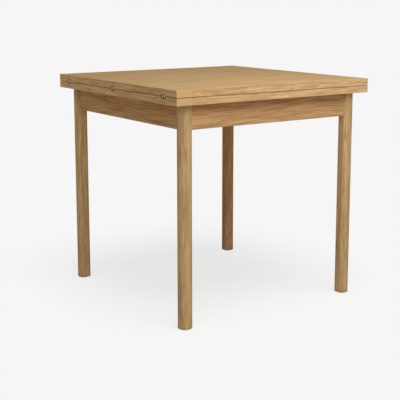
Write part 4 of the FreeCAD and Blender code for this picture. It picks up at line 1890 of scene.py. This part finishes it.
@dataclass
class Studio:
    """The pale floor, the soft light and the camera.

    Attributes:
        backdrop: how bright the background is, where 1 is white.
        sky: light from above by colour, which is weaker towards the horizon.
        dim_behind: how much weaker it is behind the table than in front.
        shadow_share: how much of the floor's look takes the table's shadow.
        floor_white: how pale that share of the floor is.
        floor_bounce: how much of its light the floor throws back on the table, by colour.
        lamps: all the lamps.
    """

    backdrop: float = 0.9216
    sky: tuple[float, float, float] = (0.218, 0.205, 0.188)
    dim_behind: float = 0.35
    shadow_share: float = 0.185
    floor_white: float = 0.93
    floor_bounce: Colour = (0.57, 0.52, 0.45, 1.0)
    lamps: tuple[Lamp, ...] = (
        Lamp("floor_light", (-0.06, -0.31, 0.95), 0.79, 38, Lights.FLOOR),
        Lamp("key_light", (-0.43, -0.71, 0.52), 0.278, 35),
        Lamp("front_light", (0.0, -0.95, 0.3), 0.07, 25),
        Lamp("high_box", (0.0, -1.0, 1.1), 13.2, 1.0, colour=(0.94, 0.98, 1.0),
             place=(0.0, -1.0, 1.7)),
    )

    def seen_directly(self, recipe: Recipe) -> Socket:
        """Return 1 for rays that show the background itself or its mirror image.

        Args:
            recipe: the recipe of the floor or the sky.

        Returns:
            The 1 or 0.
        """
        path = recipe.node("LightPath", {})
        seen = recipe.maths("MAXIMUM", path.outputs["Is Camera Ray"],
                            path.outputs["Is Glossy Ray"])
        return recipe.maths("MAXIMUM", seen, path.outputs["Is Transmission Ray"])

    def build_floor(self) -> bpy.types.Object:
        """Lay the floor, a wide plane that keeps the table's shadow.

        Returns:
            The floor's object.
        """
        shape = bmesh.new()
        bmesh.ops.create_grid(shape, x_segments=1, y_segments=1, size=400.0)
        floor = Workpiece("studio_floor", shape).object
        recipe = Recipe(bpy.data.materials.new("studio_floor"))
        recipe.tree.nodes.remove(recipe.shader)
        seen, white, share = self.seen_directly(recipe), self.floor_white, self.shadow_share
        level = recipe.blend(seen, self.floor_bounce, (white, white, white, 1.0))
        paint = recipe.node("BsdfDiffuse", {"Color": level})
        lamps = sum(lamp.on_floor() for lamp in self.lamps)
        plain = [(self.backdrop - share * white * (sky + lamps)) / (1 - share)
                 for sky in self.sky]
        glow = recipe.node("Emission", {"Color": (*plain, 1.0)})
        inputs = {0: recipe.times(seen, 1 - share), 1: paint.outputs[0], 2: glow.outputs[0]}
        recipe.feed(recipe.tree.nodes["Material Output"].inputs["Surface"],
                    recipe.node("MixShader", inputs).outputs[0])
        floor.data.materials.append(recipe.holder)
        return floor

    def build_sky(self) -> None:
        """Set the light from all round, and the background that the camera sees."""
        recipe = Recipe(bpy.data.worlds.new("studio"))
        bpy.context.scene.world = recipe.holder
        seen = self.seen_directly(recipe)
        place = recipe.place("Generated")
        height = recipe.maths("MAXIMUM", recipe.parts(place)[2], 0.0)
        behind = recipe.dot(place, (0.6 * self.dim_behind, 0.8 * self.dim_behind, 0))
        overhead = recipe.minus(recipe.maths("MULTIPLY_ADD", height, height, 0.5), behind)
        soft = recipe.joined(*[recipe.times(overhead, part) for part in self.sky])
        plain = (self.backdrop,) * 3 + (1.0,)
        recipe.feed(recipe.shader.inputs["Color"], recipe.blend(seen, soft, plain))

    def build_camera(self) -> None:
        """Set up the camera, its focal length given in pixels of a square image."""
        data = bpy.data.cameras.new("camera")
        camera = bpy.data.objects.new("camera", data)
        bpy.context.scene.collection.objects.link(camera)
        bpy.context.scene.camera = camera
        eye, image, focal = (-1.873, -2.679, 1.019), 400, 925.8
        heading, pitch = math.radians(55.34), math.radians(9.71)
        data.sensor_width = 36
        data.lens = focal / image * data.sensor_width
        data.shift_x = -4.5 / image
        data.shift_y = -0.1
        data.dof.use_dof = False
        camera.location = eye
        forward = Vector((math.cos(heading) * math.cos(pitch),
                          math.sin(heading) * math.cos(pitch), -math.sin(pitch)))
        camera.rotation_euler = (-forward).to_track_quat("Z", "Y").to_euler()

    def build(self) -> None:
        """Build the studio."""
        floor = self.build_floor()
        self.build_sky()
        for lamp in self.lamps:
            lamp.hang(floor)
        self.build_camera()
        bpy.context.scene.view_settings.view_transform = "Standard"


def main() -> None:
    """Build the table and its studio."""
    logging.basicConfig(level=logging.INFO, format="%(message)s")
    remove_strays()
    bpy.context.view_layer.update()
    finishes = Finishes()
    Studio().build()
    Stand(finishes).build()
    SwivelFitting(finishes).build()
    FoldingTop(finishes).build()


if __name__ == "__main__":
    main()
